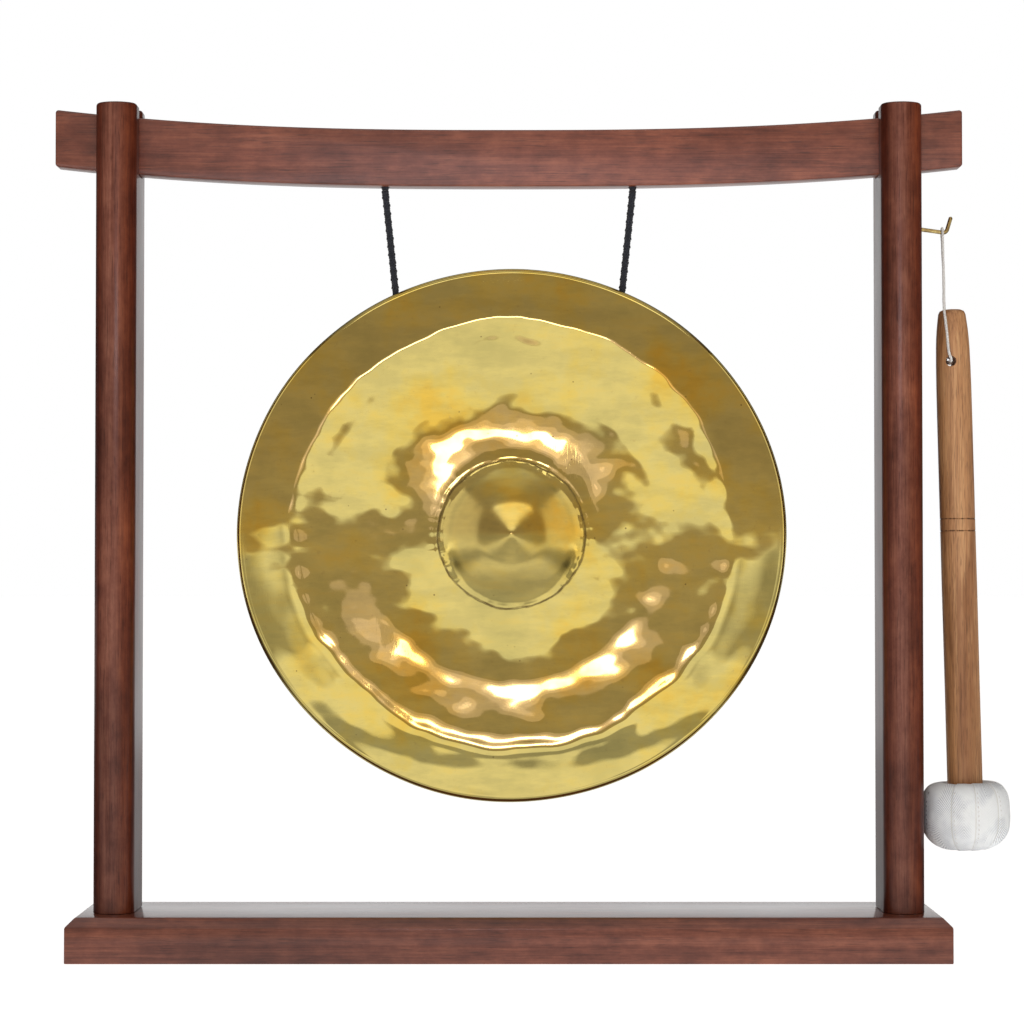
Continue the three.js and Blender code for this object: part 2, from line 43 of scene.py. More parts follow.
# Camera: a long lens a little below the gong's middle, tipped up.
camera_data = bpy.data.cameras.new("camera")
camera = bpy.data.objects.new("camera", camera_data)
scene.collection.objects.link(camera)
camera_data.lens = 100.0
camera_data.sensor_width = 36.0
camera_data.clip_end = 60.0
camera.location = (0.0017, -1.547, 0.199)
camera.rotation_euler = (radians(91.5), 0.0, 0.0)
scene.camera = camera

# The object's driving dimensions, in millimetres, as in the CAD.
BASE_LENGTH, BASE_DEPTH, BASE_THICKNESS, BASE_CHAMFER = 469, 86, 24, 5
POST_X, POST_WIDTH, POST_FLAT_DEPTH, POST_BULGE = 211.9, 22, 31, 9
POST_FOOT, POST_TOP, POST_ROUND, SLOT_FLOOR, SLOT_WIDTH = 24.3, 460, 1.6, 422.2, 14.6
BAR_HALF_LENGTH, BAR_THICKNESS, BAR_HEIGHT, BAR_MID_TOP = 246.5, 14, 30.8, 447.2
BAR_SAG, BAR_SAG_POWER, BAR_END_ROUND = 11, 2.6, 1.6
ROPE_TOP_X, ROPE_RIM_X, ROPE_TOP_DROP, RIM_PIVOT_Z = 67.5, 61.5, 2.3, 357.3
ROPE_DIAMETER = 4.0
ROPE_RADIUS = ROPE_DIAMETER / 2
GONG_X, GONG_EDGE_Y, GONG_Z = 1.5, -6, 227
GONG_RADIUS_X, GONG_RADIUS_Z, GONG_WALL, GONG_FOLD = 149.4, 144.8, 1.8, 3.8
GONG_RIM_DEPTH, GONG_RIM_TAPER = 38, 2
GONG_FACE = [
    (0, 22), (1.2, 21.75), (4, 20.75), (14, 16.95), (17, 15.75), (24, 11.85), (31, 7.45), (37.5, 3.1),
    (41, 1.9), (48, 1.1), (64, 0.6), (78, 1), (90, 2.1), (104, 3.3), (110, 3.66), (114, 4.02),
    (117.5, 4.5), (119.5, 4.63), (122, 4.4), (126, 3.7), (136, 2), (145.6, 0),
]
FACE_RADIUS = GONG_FACE[-1][0]
LIP_RADIUS = 0.9
HOOK_POST_X, HOOK_POST_Z, HOOK_SLOPE, HOOK_RADIUS = 222.9, 393.9, 0.14, 1.1
HOOK_TIP, HOOK_TIP_ANGLE, HOOK_TIP_ROUND, HOOK_BEND_RADIUS = (241.2, 400.6), radians(17), 1.0, 2.2
STRING_X, STRING_DIAMETER, STRING_EYE_RADIUS = 236.3, 1.5, 2.2
STRING_RADIUS = STRING_DIAMETER / 2
MALLET_HOLE, MALLET_HOLE_RADIUS, MALLET_AXIS_X = (239.6, 321.1), 2.8, 2.4
MALLET_LEAN, HEAD_BELOW_HOLE = radians(1.38), 246.5
HANDLE_PROFILE = [
    (0, 28.8), (2.6, 28.75), (4.9, 28.5), (6.6, 27.7), (7.4, 26), (7.8, 23), (8.4, 18), (8.8, 13),
    (9.05, 8), (9.3, -2), (9.45, -14), (9.5, -30), (9.5, -50), (9.52, -70), (9.5, -84.9),
    (9.5, -85.1), (9.2, -85.4), (9.5, -85.7), (9.5, -91.6), (9.2, -91.9), (9.5, -92.2),
    (9.55, -120), (9.5, -150), (9.45, -180), (9.5, -210), (9.5, -254.6), (0, -254.8),
]
COVER_PROFILE = [
    (0, -18.4), (6.5, -18.3), (12.8, -17.5), (17.6, -15.3), (21.2, -11.7), (23.3, -7.4), (24, -2),
    (24, 3), (23.6, 8.8), (22.2, 13.4), (19.6, 16.6), (16, 18.2), (12.5, 18.0), (9.8, 16.4),
]
PADDING_PROFILE = [
    (0, -16.6), (8.9, -16.4), (14.2, -15), (18, -12), (20.4, -7.9), (21.4, -3), (21.6, 2),
    (21.3, 7.8), (19.9, 11.9), (17.4, 14.9), (13.7, 16.1), (9.8, 13.8), (9.8, 11.6),
    (15.3, 11.6), (16.3, 10.5), (16.3, -10.3), (15.1, -11.6), (0, -11.6),
]
COVER_RADIUS = 24
BAR_SCREW_Z, BAR_SCREW_BACK, SCREW_Y = 438, 21.5, 11
SCREW_HEAD_HOLE, SCREW_HOLE = 4.3, 2.3
ROPE_HOLE_IN_BAR, ROPE_POCKET, ROPE_HOLE_IN_GONG = 2.5, 4.6, 3.2
FLOOR_REACH = 50000
TURN = 2 * pi


def sag(x):
    return BAR_SAG * (abs(x) / BAR_HALF_LENGTH) ** BAR_SAG_POWER


def bar_under(x):
    return BAR_MID_TOP - BAR_HEIGHT + sag(x)


ROPE_PIVOT_Z = bar_under(ROPE_TOP_X) - ROPE_TOP_DROP
STRING_Z = HOOK_POST_Z - HOOK_SLOPE * (STRING_X - HOOK_POST_X)


# Mesh helpers. Points are given in millimetres and stored in metres.
def mesh_object(name, points, faces, materials, smooth=True):
    mesh = bpy.data.meshes.new(name)
    mesh.from_pydata([tuple(c * MM for c in p) for p in points], [], faces)
    mesh.update()
    obj = bpy.data.objects.new(name, mesh)
    scene.collection.objects.link(obj)
    for material in materials:
        mesh.materials.append(material)
    mesh.polygons.foreach_set("use_smooth", [smooth] * len(mesh.polygons))
    return obj


def circle(count):
    """Angles of count even places round a circle."""
    return [TURN * j / count for j in range(count)]


def ring_points(radius, height, count, centre=(0, 0, 0)):
    """A level ring round Z."""
    x, y, z = centre
    return [(x + radius * cos(a), y + radius * sin(a), z + height) for a in circle(count)]


def attach(piece, body, node=None):
    """Rides a piece on a body, in place of a CAD node if there is one."""
    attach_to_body(piece, body)
    if node:
        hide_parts(node)


def ring_faces(rings, count):
    """Quads between rings of count points each."""
    faces = []
    for i in range(rings - 1):
        for j in range(count):
            k = (j + 1) % count
            faces.append((i * count + j, i * count + k, (i + 1) * count + k, (i + 1) * count + j))
    return faces


def fan(tip, first, count):
    """Triangles from a tip to the ring of count points that starts at first."""
    return [(tip, first + j, first + (j + 1) % count) for j in range(count)]


def freeze(obj):
    """Keeps the result of obj's modifiers as its mesh."""
    bpy.context.view_layer.update()
    graph = bpy.context.evaluated_depsgraph_get()
    mesh = bpy.data.meshes.new_from_object(obj.evaluated_get(graph))
    obj.modifiers.clear()
    obj.data = mesh
    return obj


def face_out(obj):
    mesh = bmesh.new()
    mesh.from_mesh(obj.data)
    bmesh.ops.remove_doubles(mesh, verts=mesh.verts, dist=1e-7)
    bmesh.ops.recalc_face_normals(mesh, faces=mesh.faces)
    mesh.to_mesh(obj.data)
    mesh.free()
    return obj


def bevelled(obj, width, segments=3, angle=30):
    bevel = obj.modifiers.new("bevel", "BEVEL")
    bevel.width = width * MM
    bevel.segments = segments
    bevel.limit_method = "ANGLE"
    bevel.angle_limit = radians(angle)
    return freeze(obj)


def cut_out(obj, cutters):
    for cutter in cutters:
        face_out(cutter)
        boolean = obj.modifiers.new("cut", "BOOLEAN")
        boolean.operation = "DIFFERENCE"
        boolean.solver = "EXACT"
        boolean.object = cutter
    freeze(obj)
    for cutter in cutters:
        bpy.data.objects.remove(cutter)
    return obj


def sharp_above(obj, angle, flat_area=120):
    """Smooth shading up to an angle, and flat shading on faces larger than flat_area square millimetres."""
    smooth = [polygon.area < flat_area * MM * MM for polygon in obj.data.polygons]
    obj.data.polygons.foreach_set("use_smooth", smooth)
    obj.data.set_sharp_from_angle(angle=radians(angle))
    return obj


def turned(name, profile, segments, materials, place=(0, 0, 0)):
    """A closed turned shape about Z from (radius, height) points that start and end on the axis."""
    points = []
    inner = [p for p in profile if p[0] > 1e-6]
    for r, h in inner:
        points += ring_points(r, h, segments, place)
    faces = ring_faces(len(inner), segments)
    for ring, end in ((0, 0), (len(inner) - 1, -1)):
        if profile[end][0] < 1e-6:
            faces += fan(len(points), ring * segments, segments)
            points.append((place[0], place[1], place[2] + profile[end][1]))
    return face_out(mesh_object(name, points, faces, materials))


def box_cutter(low, high):
    corners = [(x, y, z) for z in (low[2], high[2]) for y in (low[1], high[1]) for x in (low[0], high[0])]
    faces = [(0, 2, 3, 1), (4, 5, 7, 6), (0, 1, 5, 4), (1, 3, 7, 5), (3, 2, 6, 7), (2, 0, 4, 6)]
    return mesh_object("cutter", corners, faces, (), smooth=False)


def rod_cutter(start, end, r0, r1=None, segments=32):
    r1 = r0 if r1 is None else r1
    start, end = Vector(start), Vector(end)
    turn = (end - start).to_track_quat("Z", "Y")
    points = []
    for at, r in ((start, r0), (end, r1)):
        points += [at + turn @ Vector((r * cos(a), r * sin(a), 0)) for a in circle(segments)]
    faces = ring_faces(2, segments)
    faces += [tuple(range(segments)), tuple(range(segments, 2 * segments))]
    return mesh_object("cutter", points, faces, (), smooth=False)


def catmull(points, steps):
    """A smooth line through points, with steps pieces between neighbours."""
    p = [Vector(q) for q in points]
    p = [2 * p[0] - p[1], *p, 2 * p[-1] - p[-2]]
    line = []
    for i in range(1, len(p) - 2):
        for k in range(steps):
            t = k / steps
            line.append(
                0.5 * (2 * p[i] + (p[i + 1] - p[i - 1]) * t
                       + (2 * p[i - 1] - 5 * p[i] + 4 * p[i + 1] - p[i + 2]) * t * t
                       + (3 * p[i] - p[i - 1] - 3 * p[i + 1] + p[i + 2]) * t ** 3)
            )
    line.append(p[-2])
    return line


def resampled(line, spacing):
    line = [Vector(p) for p in line]
    along = np.concatenate([[0], np.cumsum([(b - a).length for a, b in zip(line, line[1:])])])
    count = max(int(round(along[-1] / spacing)), 2)
    at = np.linspace(0, along[-1], count + 1)
    columns = [np.interp(at, along, [p[i] for p in line]) for i in range(3)]
    return [Vector(c) for c in zip(*columns)], at


def frames_along(line):
    """A direction and two steady side vectors at each point of a line."""
    tangents = []
    for i in range(len(line)):
        a, b = line[max(i - 1, 0)], line[min(i + 1, len(line) - 1)]
        tangents.append((b - a).normalized())
    side = tangents[0].orthogonal().normalized()
    result = []
    for t in tangents:
        side = (side - t * side.dot(t)).normalized()
        result.append((t, side, t.cross(side)))
    return result


def tube_points(line, radii, sides, round_ends=False):
    """Points and faces of a tube round a line, capped at both ends."""
    axes = frames_along(line)
    points = []
    for p, (t, u, v), r in zip(line, axes, radii):
        points += [p + (u * cos(a) + v * sin(a)) * r for a in circle(sides)]
    faces = ring_faces(len(line), sides)
    base = len(points)
    lift = 0.6 if round_ends else 0.0
    points.append(line[0] - axes[0][0] * radii[0] * lift)
    points.append(line[-1] + axes[-1][0] * radii[-1] * lift)
    end = (len(line) - 1) * sides
    for j in range(sides):
        k = (j + 1) % sides
        faces.append((base, k, j))
        faces.append((base + 1, end + j, end + k))
    return points, faces


def merged(parts):
    points, faces = [], []
    for more_points, more_faces in parts:
        base = len(points)
        points += list(more_points)
        faces += [tuple(i + base for i in face) for face in more_faces]
    return points, faces


def braid(line, radius, strands=4, pitch=9.0, strand=0.42, flare=None, spacing=0.45):
    """A braided sleeve: strands wound both ways that pass over and under each other."""
    line, at = resampled(line, spacing)
    axes = frames_along(line)
    parts = []
    strand_radius = radius * strand
    for way in (-1, 1):
        for k in range(strands):
            centre, radii = [], []
            for p, s, (t, u, v) in zip(line, at, axes):
                grow = flare(s) if flare else 1.0
                a = way * TURN * s / pitch + TURN * k / strands
                lift = 0.14 * radius * way * cos(strands * TURN * s / pitch + pi * k)
                r = (radius - strand_radius) * grow * 0.96 + lift
                centre.append(p + (u * cos(a) + v * sin(a)) * r)
                radii.append(strand_radius * (0.92 + 0.08 * sin(3.1 * s + k)))
            parts.append(tube_points(centre, radii, 7))
    parts.append(tube_points(line, [radius * 0.62] * len(line), 8))
    return merged(parts)


def twine(line, radius, plies=3, pitch=4.6, spacing=0.35):
    """A twisted cord: plies wound the same way."""
    line, at = resampled(line, spacing)
    axes = frames_along(line)
    parts = []
    for k in range(plies):
        centre = []
        for p, s, (t, u, v) in zip(line, at, axes):
            a = TURN * s / pitch + TURN * k / plies
            centre.append(p + (u * cos(a) + v * sin(a)) * radius * 0.47)
        parts.append(tube_points(centre, [radius * 0.56] * len(line), 7, round_ends=True))
    return merged(parts)


class Net:
    """A node tree, with short names for the nodes that the materials are made of."""

    def __init__(self, tree):
        self.tree = tree

    def node(self, kind, settings=None, inputs=None):
        made = self.tree.nodes.new(kind)
        for key, value in (settings or {}).items():
            setattr(made, key, value)
        for key, value in (inputs or {}).items():
            if isinstance(value, bpy.types.NodeSocket):
                self.tree.links.new(value, made.inputs[key])
            else:
                made.inputs[key].default_value = value
        return made

    def calc(self, operation, a, b=0.0, c=0.0, clamp=False):
        settings = {"operation": operation, "use_clamp": clamp}
        return self.node("ShaderNodeMath", settings, {0: a, 1: b, 2: c}).outputs[0]

    def times(self, a, b):
        return self.calc("MULTIPLY", a, b)

    def plus(self, a, b, clamp=False):
        return self.calc("ADD", a, b, clamp=clamp)

    def minus(self, a, b):
        return self.calc("SUBTRACT", a, b)

    def mixed(self, factor, a, b, mode="MIX"):
        settings = {"data_type": "RGBA", "blend_type": mode}
        return self.node("ShaderNodeMix", settings, {0: factor, 6: a, 7: b}).outputs[2]

    def tinted(self, colour, tint):
        return self.mixed(1.0, colour, tint, "MULTIPLY")

    def ramp(self, value, stops):
        made = self.node("ShaderNodeValToRGB", None, {0: value})
        elements = made.color_ramp.elements
        while len(elements) < len(stops):
            elements.new(0.5)
        for element, (position, colour) in zip(elements, stops):
            element.position = position
            shade = (colour,) * 3 if isinstance(colour, (int, float)) else colour
            element.color = (*shade, 1.0)
        return made.outputs[0]

    def coords(self):
        return self.node("ShaderNodeTexCoord").outputs["Object"]

    def axes(self):
        return self.node("ShaderNodeSeparateXYZ", None, {0: self.coords()}).outputs

    def stretch(self, scale=(1, 1, 1), place=(0, 0, 0), turn=(0, 0, 0)):
        inputs = {"Vector": self.coords(), "Location": place, "Rotation": turn, "Scale": scale}
        return self.node("ShaderNodeMapping", None, inputs).outputs[0]

    def speckle(self, vector, scale=1.0, detail=2.0, rough=0.5, distortion=0.0):
        inputs = {"Vector": vector, "Scale": scale, "Detail": detail, "Roughness": rough}
        inputs["Distortion"] = distortion
        return self.node("ShaderNodeTexNoise", None, inputs).outputs[0]

    def grain(self, *settings):
        """Speckle of the same size along every axis."""
        return self.speckle(self.stretch(), *settings)

    def cells(self, scale):
        return self.node("ShaderNodeTexVoronoi", None, {"Vector": self.stretch(), "Scale": scale}).outputs[0]

    def bump(self, height, strength, distance):
        inputs = {"Height": height, "Strength": strength, "Distance": distance}
        self.shade("Normal", self.node("ShaderNodeBump", None, inputs).outputs[0])

    def shade(self, socket, value):
        """Links a value to the material's shader."""
        self.tree.links.new(value, self.tree.nodes["Principled BSDF"].inputs[socket])


def material(name, colour, roughness, metallic=0.0):
    made = bpy.data.materials.new(name)
    made.use_nodes = True
    shader = made.node_tree.nodes["Principled BSDF"]
    shader.inputs["Base Color"].default_value = (*colour, 1.0)
    shader.inputs["Roughness"].default_value = roughness
    shader.inputs["Metallic"].default_value = metallic
    return made, Net(made.node_tree), shader


def stained_wood(name, along, place, tone=1.0, coat=0.6, coat_rough=0.12, middle=None):
    """Gloss mahogany stain, its grain along one axis. A rounded post gets painted shade along its edges and a
    painted highlight down its middle.
    """
    made, n, shader = material(name, (0.1, 0.04, 0.025), 0.38)
    axis = "XYZ".index(along)

    def scaled(across, down):
        scale = [across] * 3
        scale[axis] = down
        return n.stretch(tuple(scale), place)

    streak = n.speckle(scaled(170.0, 5.0), detail=4.0, rough=0.6, distortion=0.8)
    fine = n.speckle(scaled(900.0, 22.0), detail=3.0, rough=0.7)
    mottle = n.speckle(scaled(120.0, 70.0), detail=4.0, rough=0.65)
    pores = n.ramp(n.speckle(scaled(2100.0, 80.0), detail=1.0), [(0.60, 0.0), (0.70, 1.0)])
    blotch = n.speckle(scaled(20.0, 9.0), detail=2.0)
    value = n.plus(n.times(streak, 0.33), n.times(fine, 0.27))
    value = n.plus(value, n.times(mottle, 0.4))
    shades = ((0.36, (0.075, 0.015, 0.007)), (0.5, (0.155, 0.041, 0.022)), (0.63, (0.24, 0.075, 0.040)))
    colour = n.ramp(value, [(at, tuple(c * tone for c in shade)) for at, shade in shades])
    colour = n.tinted(colour, n.ramp(blotch, [(0.35, (0.74, 0.68, 0.66)), (0.65, (1.18, 1.14, 1.08))]))
    if middle is not None:
        # Painted shade and highlight: across the post's width the colour is darkened towards both edges and
        # lightened down the middle.
        off = n.calc("MULTIPLY_ADD", n.minus(n.axes()[0], middle * MM), 1000.0 / 30, 0.5)
        painted_shade_and_highlight = n.ramp(off, [
            (0.14, (0.42, 0.28, 0.22)), (0.23, (0.56, 0.42, 0.34)), (0.31, (0.88, 1.0, 1.15)),
            (0.40, (1.12, 1.45, 1.8)), (0.53, (1.08, 1.35, 1.6)), (0.62, (1.02, 1.05, 1.0)),
            (0.72, (0.92, 0.74, 0.52)), (0.84, (0.62, 0.44, 0.32)),
        ])
        colour = n.tinted(colour, painted_shade_and_highlight)
        shader.inputs["Specular IOR Level"].default_value = 0.2
    if name == "mahogany_crossbar":
        # Painted highlight: the crossbar's colour is lightened on a band from its middle towards its right
        # end.
        painted_highlight_band = n.ramp(n.calc("MULTIPLY_ADD", n.axes()[0], 2.0, 0.5), [
            (0.50, 1.0), (0.68, (1.28, 1.25, 1.16)), (0.86, (1.28, 1.25, 1.16)), (0.95, 1.0),
        ])
        colour = n.tinted(colour, painted_highlight_band)
    colour = n.mixed(n.times(pores, 0.45), colour, (0.02, 0.006, 0.004, 1.0))
    n.shade("Base Color", colour)
    height = n.minus(n.times(fine, 0.4), n.times(pores, 0.6))
    n.bump(height, 0.25, 0.00012)
    n.shade("Roughness", n.ramp(blotch, [(0.3, 0.30), (0.7, 0.42)]))
    shader.inputs["Coat Weight"].default_value = coat
    shader.inputs["Coat Roughness"].default_value = coat_rough
    return made


# Stained wood, one material for each grain direction and board.
WOOD_BASE = stained_wood("mahogany_base", "X", (0.0, 0.31, 0.17))
WOOD_BAR = stained_wood("mahogany_crossbar", "X", (0.4, 0.11, 0.53), 1.12, 0.6, 0.3)
WOOD_LEFT = stained_wood("mahogany_post_left", "Z", (0.21, 0.0, 0.3), 0.92, 0.25, 0.12, -POST_X)
WOOD_RIGHT = stained_wood("mahogany_post_right", "Z", (0.7, 0.3, 0.9), 0.95, 0.25, 0.12, POST_X)


def brass_face():
    """Polished hammered brass with worn patches, fine scratches and a grimy line round the boss."""
    made, n, _ = material("hammered_brass", (0.78, 0.60, 0.22), 0.12, 1.0)
    x, _, z = n.axes()
    x, z = n.minus(x, GONG_X * MM), n.minus(z, GONG_Z * MM)
    radius = n.calc("SQRT", n.plus(n.times(x, x), n.times(z, z)))
    wander = n.grain(90.0, 3.0)
    radius = n.plus(radius, n.times(n.minus(wander, 0.5), 0.0035))
    wash = n.speckle(n.stretch((1, 1, 1), (0.3, 0, 0.1)), 22.0, 4.0, 0.6)
    colour = n.ramp(wash, [
        (0.34, (0.69, 0.56, 0.18)), (0.48, (0.79, 0.63, 0.20)),
        (0.58, (0.83, 0.62, 0.15)), (0.68, (0.88, 0.57, 0.09)),
    ])
    wiping = n.stretch((26.0, 26.0, 95.0), (0.2, 0.0, 0.6), (0.0, radians(28), 0.0))
    wiped = n.ramp(n.speckle(wiping, 1.0, 5.0, 0.65), [
        (0.40, (0.88, 0.89, 0.93)), (0.56, 1.0), (0.68, (1.05, 1.0, 0.90)),
    ])
    colour = n.tinted(colour, wiped)
    spots = n.ramp(n.grain(260.0, 4.0, 0.7), [(0.62, 0.0), (0.74, 1.0)])
    colour = n.mixed(n.times(spots, 0.35), colour, (0.52, 0.36, 0.12, 1.0))
    pits = n.ramp(n.cells(110.0), [(0.035, 1.0), (0.065, 0.0)])
    pits = n.times(pits, n.ramp(wander, [(0.50, 0.0), (0.56, 1.0)]))
    colour = n.mixed(n.times(pits, 0.8), colour, (0.20, 0.12, 0.04, 1.0))
    off = n.calc("ABSOLUTE", n.minus(radius, 0.0400))
    crease = n.ramp(n.times(off, 1000.0), [(0.25, 0.85), (0.9, 0.0)])
    crease = n.times(crease, n.ramp(n.grain(130.0, 2.0), [(0.3, 0.35), (0.6, 1.0)]))
    edge = n.ramp(n.times(radius, 6.0), [(0.864, 0.0), (0.893, 0.55)])
    dulled = n.ramp(n.times(radius, 10.0), [(0.30, (0.86, 0.83, 0.80)), (0.39, (1.0, 1.0, 1.0))])
    colour = n.tinted(colour, dulled)
    colour = n.mixed(crease, colour, (0.14, 0.085, 0.03, 1.0))
    colour = n.mixed(n.times(edge, 0.15), colour, (0.30, 0.20, 0.07, 1.0))
    n.shade("Base Color", colour)
    rough = n.ramp(n.grain(36.0, 4.0, 0.6), [(0.35, 0.02), (0.7, 0.055)])
    rough = n.plus(rough, n.times(crease, 0.35), clamp=True)
    boss = n.ramp(n.times(radius, 10.0), [(0.30, 0.17), (0.40, 0.0)])
    rough = n.plus(rough, boss, clamp=True)
    rough = n.calc("MULTIPLY_ADD", edge, 0.30, rough, clamp=True)
    n.shade("Roughness", rough)
    lines = n.plus(*(
        n.ramp(
            n.speckle(n.stretch((2600, 2600, 60), turn=(0, radians(lean), 0)), 1.0, 2.0),
            [(rare, 0.0), (rare + 0.1, 1.0)],
        )
        for lean, rare in ((35, 0.62), (-50, 0.64))
    ))
    small = n.grain(70.0, 0.0)
    height = n.minus(small, n.times(lines, 0.012))
    n.bump(height, 0.30, 0.0005)
    return made


def brass_back():
    """The unpolished inside: dull, browned and dimpled."""
    made, n, _ = material("brass_inside", (0.42, 0.30, 0.12), 0.42, 1.0)
    wash = n.speckle(n.stretch((1, 1, 1), (0.7, 0, 0.2)), 22.0, 5.0, 0.65)
    colour = n.ramp(wash, [
        (0.33, (0.20, 0.125, 0.05)), (0.5, (0.42, 0.29, 0.115)), (0.66, (0.58, 0.43, 0.17)),
    ])
    n.shade("Base Color", colour)
    n.bump(n.cells(95.0), 0.35, 0.0008)
    rough = n.ramp(wash, [(0.35, 0.52), (0.65, 0.30)])
    n.shade("Roughness", rough)
    return made


def thread_material(name, dark, light, roughness, scale, fuzz):
    made, n, shader = material(name, light, roughness)
    strand = n.grain(scale, 4.0, 0.6)
    colour = n.ramp(strand, [(0.35, dark), (0.65, light)])
    n.shade("Base Color", colour)
    fibre = n.grain(scale * 3.2, 2.0)
    n.bump(fibre, 0.5, 0.00025)
    shader.inputs["Sheen Weight"].default_value = fuzz
    shader.inputs["Sheen Roughness"].default_value = 0.5
    return made


def teak():
    """Oiled teak with straight dark figure, pores and a wavy light band."""
    made, n, _ = material("teak_handle", (0.36, 0.2, 0.1), 0.46)
    figure = n.speckle(n.stretch((190.0, 190.0, 6.0), (0.2, 0.5, 0.1)), 1.0, 4.0, 0.6, 0.8)
    fine = n.speckle(n.stretch((1300.0, 1300.0, 34.0)), 1.0, 3.0, 0.6)
    pores = n.ramp(n.speckle(n.stretch((2000.0, 2000.0, 130.0)), 1.0, 1.0), [(0.56, 0.0), (0.66, 1.0)])
    value = n.plus(n.times(figure, 0.6), n.times(fine, 0.4))
    colour = n.ramp(value, [
        (0.34, (0.27, 0.125, 0.052)), (0.49, (0.46, 0.225, 0.097)), (0.64, (0.60, 0.34, 0.16)),
    ])
    colour = n.mixed(n.times(pores, 0.4), colour, (0.13, 0.06, 0.026, 1.0))
    browned = n.ramp(n.speckle(n.stretch((75.0, 75.0, 9.0), (0.35, 0.1, 0.4)), 1.0, 3.0, 0.6), [
        (0.38, (0.62, 0.52, 0.44)), (0.50, (0.97, 0.95, 0.93)), (0.64, (1.08, 1.08, 1.06)),
    ])
    colour = n.tinted(colour, browned)
    level = n.axes()[2]
    broken = n.ramp(n.speckle(n.stretch((900.0, 900.0, 40.0)), 1.0, 1.0), [(0.42, 0.15), (0.55, 1.0)])
    for turned_line in (MALLET_HOLE[1] - 85.4, MALLET_HOLE[1] - 91.9):
        off = n.calc("ABSOLUTE", n.minus(level, turned_line * MM))
        line = n.ramp(n.times(off, 1000.0), [(0.25, 0.8), (0.55, 0.0)])
        colour = n.mixed(n.times(line, broken), colour, (0.07, 0.032, 0.015, 1.0))
    n.shade("Base Color", colour)
    height = n.minus(n.times(fine, 0.5), pores)
    n.bump(height, 0.4, 0.0002)
    return made


HEAD_X = MALLET_HOLE[0] + MALLET_AXIS_X + HEAD_BELOW_HOLE * sin(MALLET_LEAN)
HEAD_Z = MALLET_HOLE[1] - HEAD_BELOW_HOLE * cos(MALLET_LEAN)
TAPE_WIDTH, TAPE_START, TAPE_NARROWEST = 12.85, -24.0, 13.0


def cotton_tape():
    """Herringbone tape: chevrons along each strip, turned the other way on the next."""
    made, n, shader = material("cotton_tape", (0.86, 0.86, 0.87), 0.9)
    x, y, z = n.axes()
    x, z = n.minus(x, HEAD_X * MM), n.minus(z, HEAD_Z * MM)
    reach = n.calc("SQRT", n.plus(n.times(x, x), n.times(y, y)))
    spread = n.calc("DIVIDE", COVER_RADIUS * MM, n.calc("MAXIMUM", reach, TAPE_NARROWEST * MM))
    even = n.minus(n.times(x, spread), TAPE_START * MM)
    strip = n.plus(n.calc("DIVIDE", even, TAPE_WIDTH * MM), 4.0)
    across = n.calc("FRACT", strip)
    from_middle = n.calc("ABSOLUTE", n.minus(across, 0.5))
    turn = n.calc("ARCTAN2", z, n.times(y, -1.0))
    which = n.calc("MODULO", n.calc("FLOOR", strip), 2.0)
    way = n.minus(1.0, n.times(which, 2.0))
    along = n.times(n.times(turn, way), 22.0)
    lean = n.times(from_middle, TAPE_WIDTH * 1.75)
    phase = n.times(n.plus(along, lean), TURN / 1.55)
    twill = n.calc("MULTIPLY_ADD", n.calc("SINE", phase), 0.5, 0.5)
    yarn = n.calc("SINE", n.times(across, TURN * 21))
    lint = n.grain(900.0, 4.0, 0.6)
    height = n.calc("MULTIPLY_ADD", yarn, 0.10, n.calc("MULTIPLY_ADD", lint, 0.3, twill))
    n.bump(height, 0.75, 0.0003)
    soil = n.ramp(n.grain(45.0, 3.0), [(0.35, (0.88, 0.92, 0.95)), (0.6, (0.95, 0.98, 0.99))])
    wear = n.ramp(n.grain(70.0, 2.0), [(0.44, 0.04), (0.58, 0.85)])
    gap = n.times(n.ramp(twill, [(0.0, 1.0), (0.55, 0.0)]), wear)
    colour = n.mixed(gap, soil, (0.42, 0.45, 0.52, 1.0))
    seam = n.ramp(n.calc("MINIMUM", across, n.minus(1.0, across)), [(0.010, 0.42), (0.035, 0.0)])
    colour = n.mixed(seam, colour, (0.60, 0.58, 0.50, 1.0))
    n.shade("Base Color", colour)
    shader.inputs["Sheen Weight"].default_value = 0.15
    return made


def worn_metal(name, colour, dull, roughness):
    made, n, _ = material(name, colour, roughness, 1.0)
    wash = n.grain(240.0, 4.0, 0.6)
    n.shade("Base Color", n.ramp(wash, [(0.38, dull), (0.6, colour)]))
    n.shade("Roughness", n.ramp(wash, [(0.35, roughness + 0.2), (0.65, roughness)]))
    n.bump(wash, 0.2, 0.0001)
    return made


BRASS = brass_face()
BRASS_INSIDE = brass_back()
HOOK_BRASS = worn_metal("hook_wire", (0.78, 0.60, 0.25), (0.46, 0.31, 0.12), 0.12)
STEEL = worn_metal("screw_steel_worn", (0.62, 0.62, 0.61), (0.32, 0.31, 0.30), 0.3)
ROPE_BLACK = thread_material(
    "black_cotton_rope", (0.004, 0.005, 0.009), (0.02, 0.024, 0.036), 0.85, 1400.0, 0.25,
)
TWINE_WHITE = thread_material("white_twine", (0.56, 0.54, 0.51), (0.88, 0.87, 0.84), 0.9, 1600.0, 0.3)
STITCH_DARK = thread_material("tape_stitch", (0.10, 0.10, 0.12), (0.26, 0.26, 0.30), 0.9, 1500.0, 0.2)
FELT = thread_material("felt_padding", (0.40, 0.37, 0.33), (0.58, 0.55, 0.49), 1.0, 700.0, 0.5)
TEAK = teak()
TAPE = cotton_tape()
RUBBER, n, _ = material("core_rubber_moulded", (0.02, 0.02, 0.02), 0.7)
n.bump(n.grain(600.0, 3.0), 0.4, 0.0002)


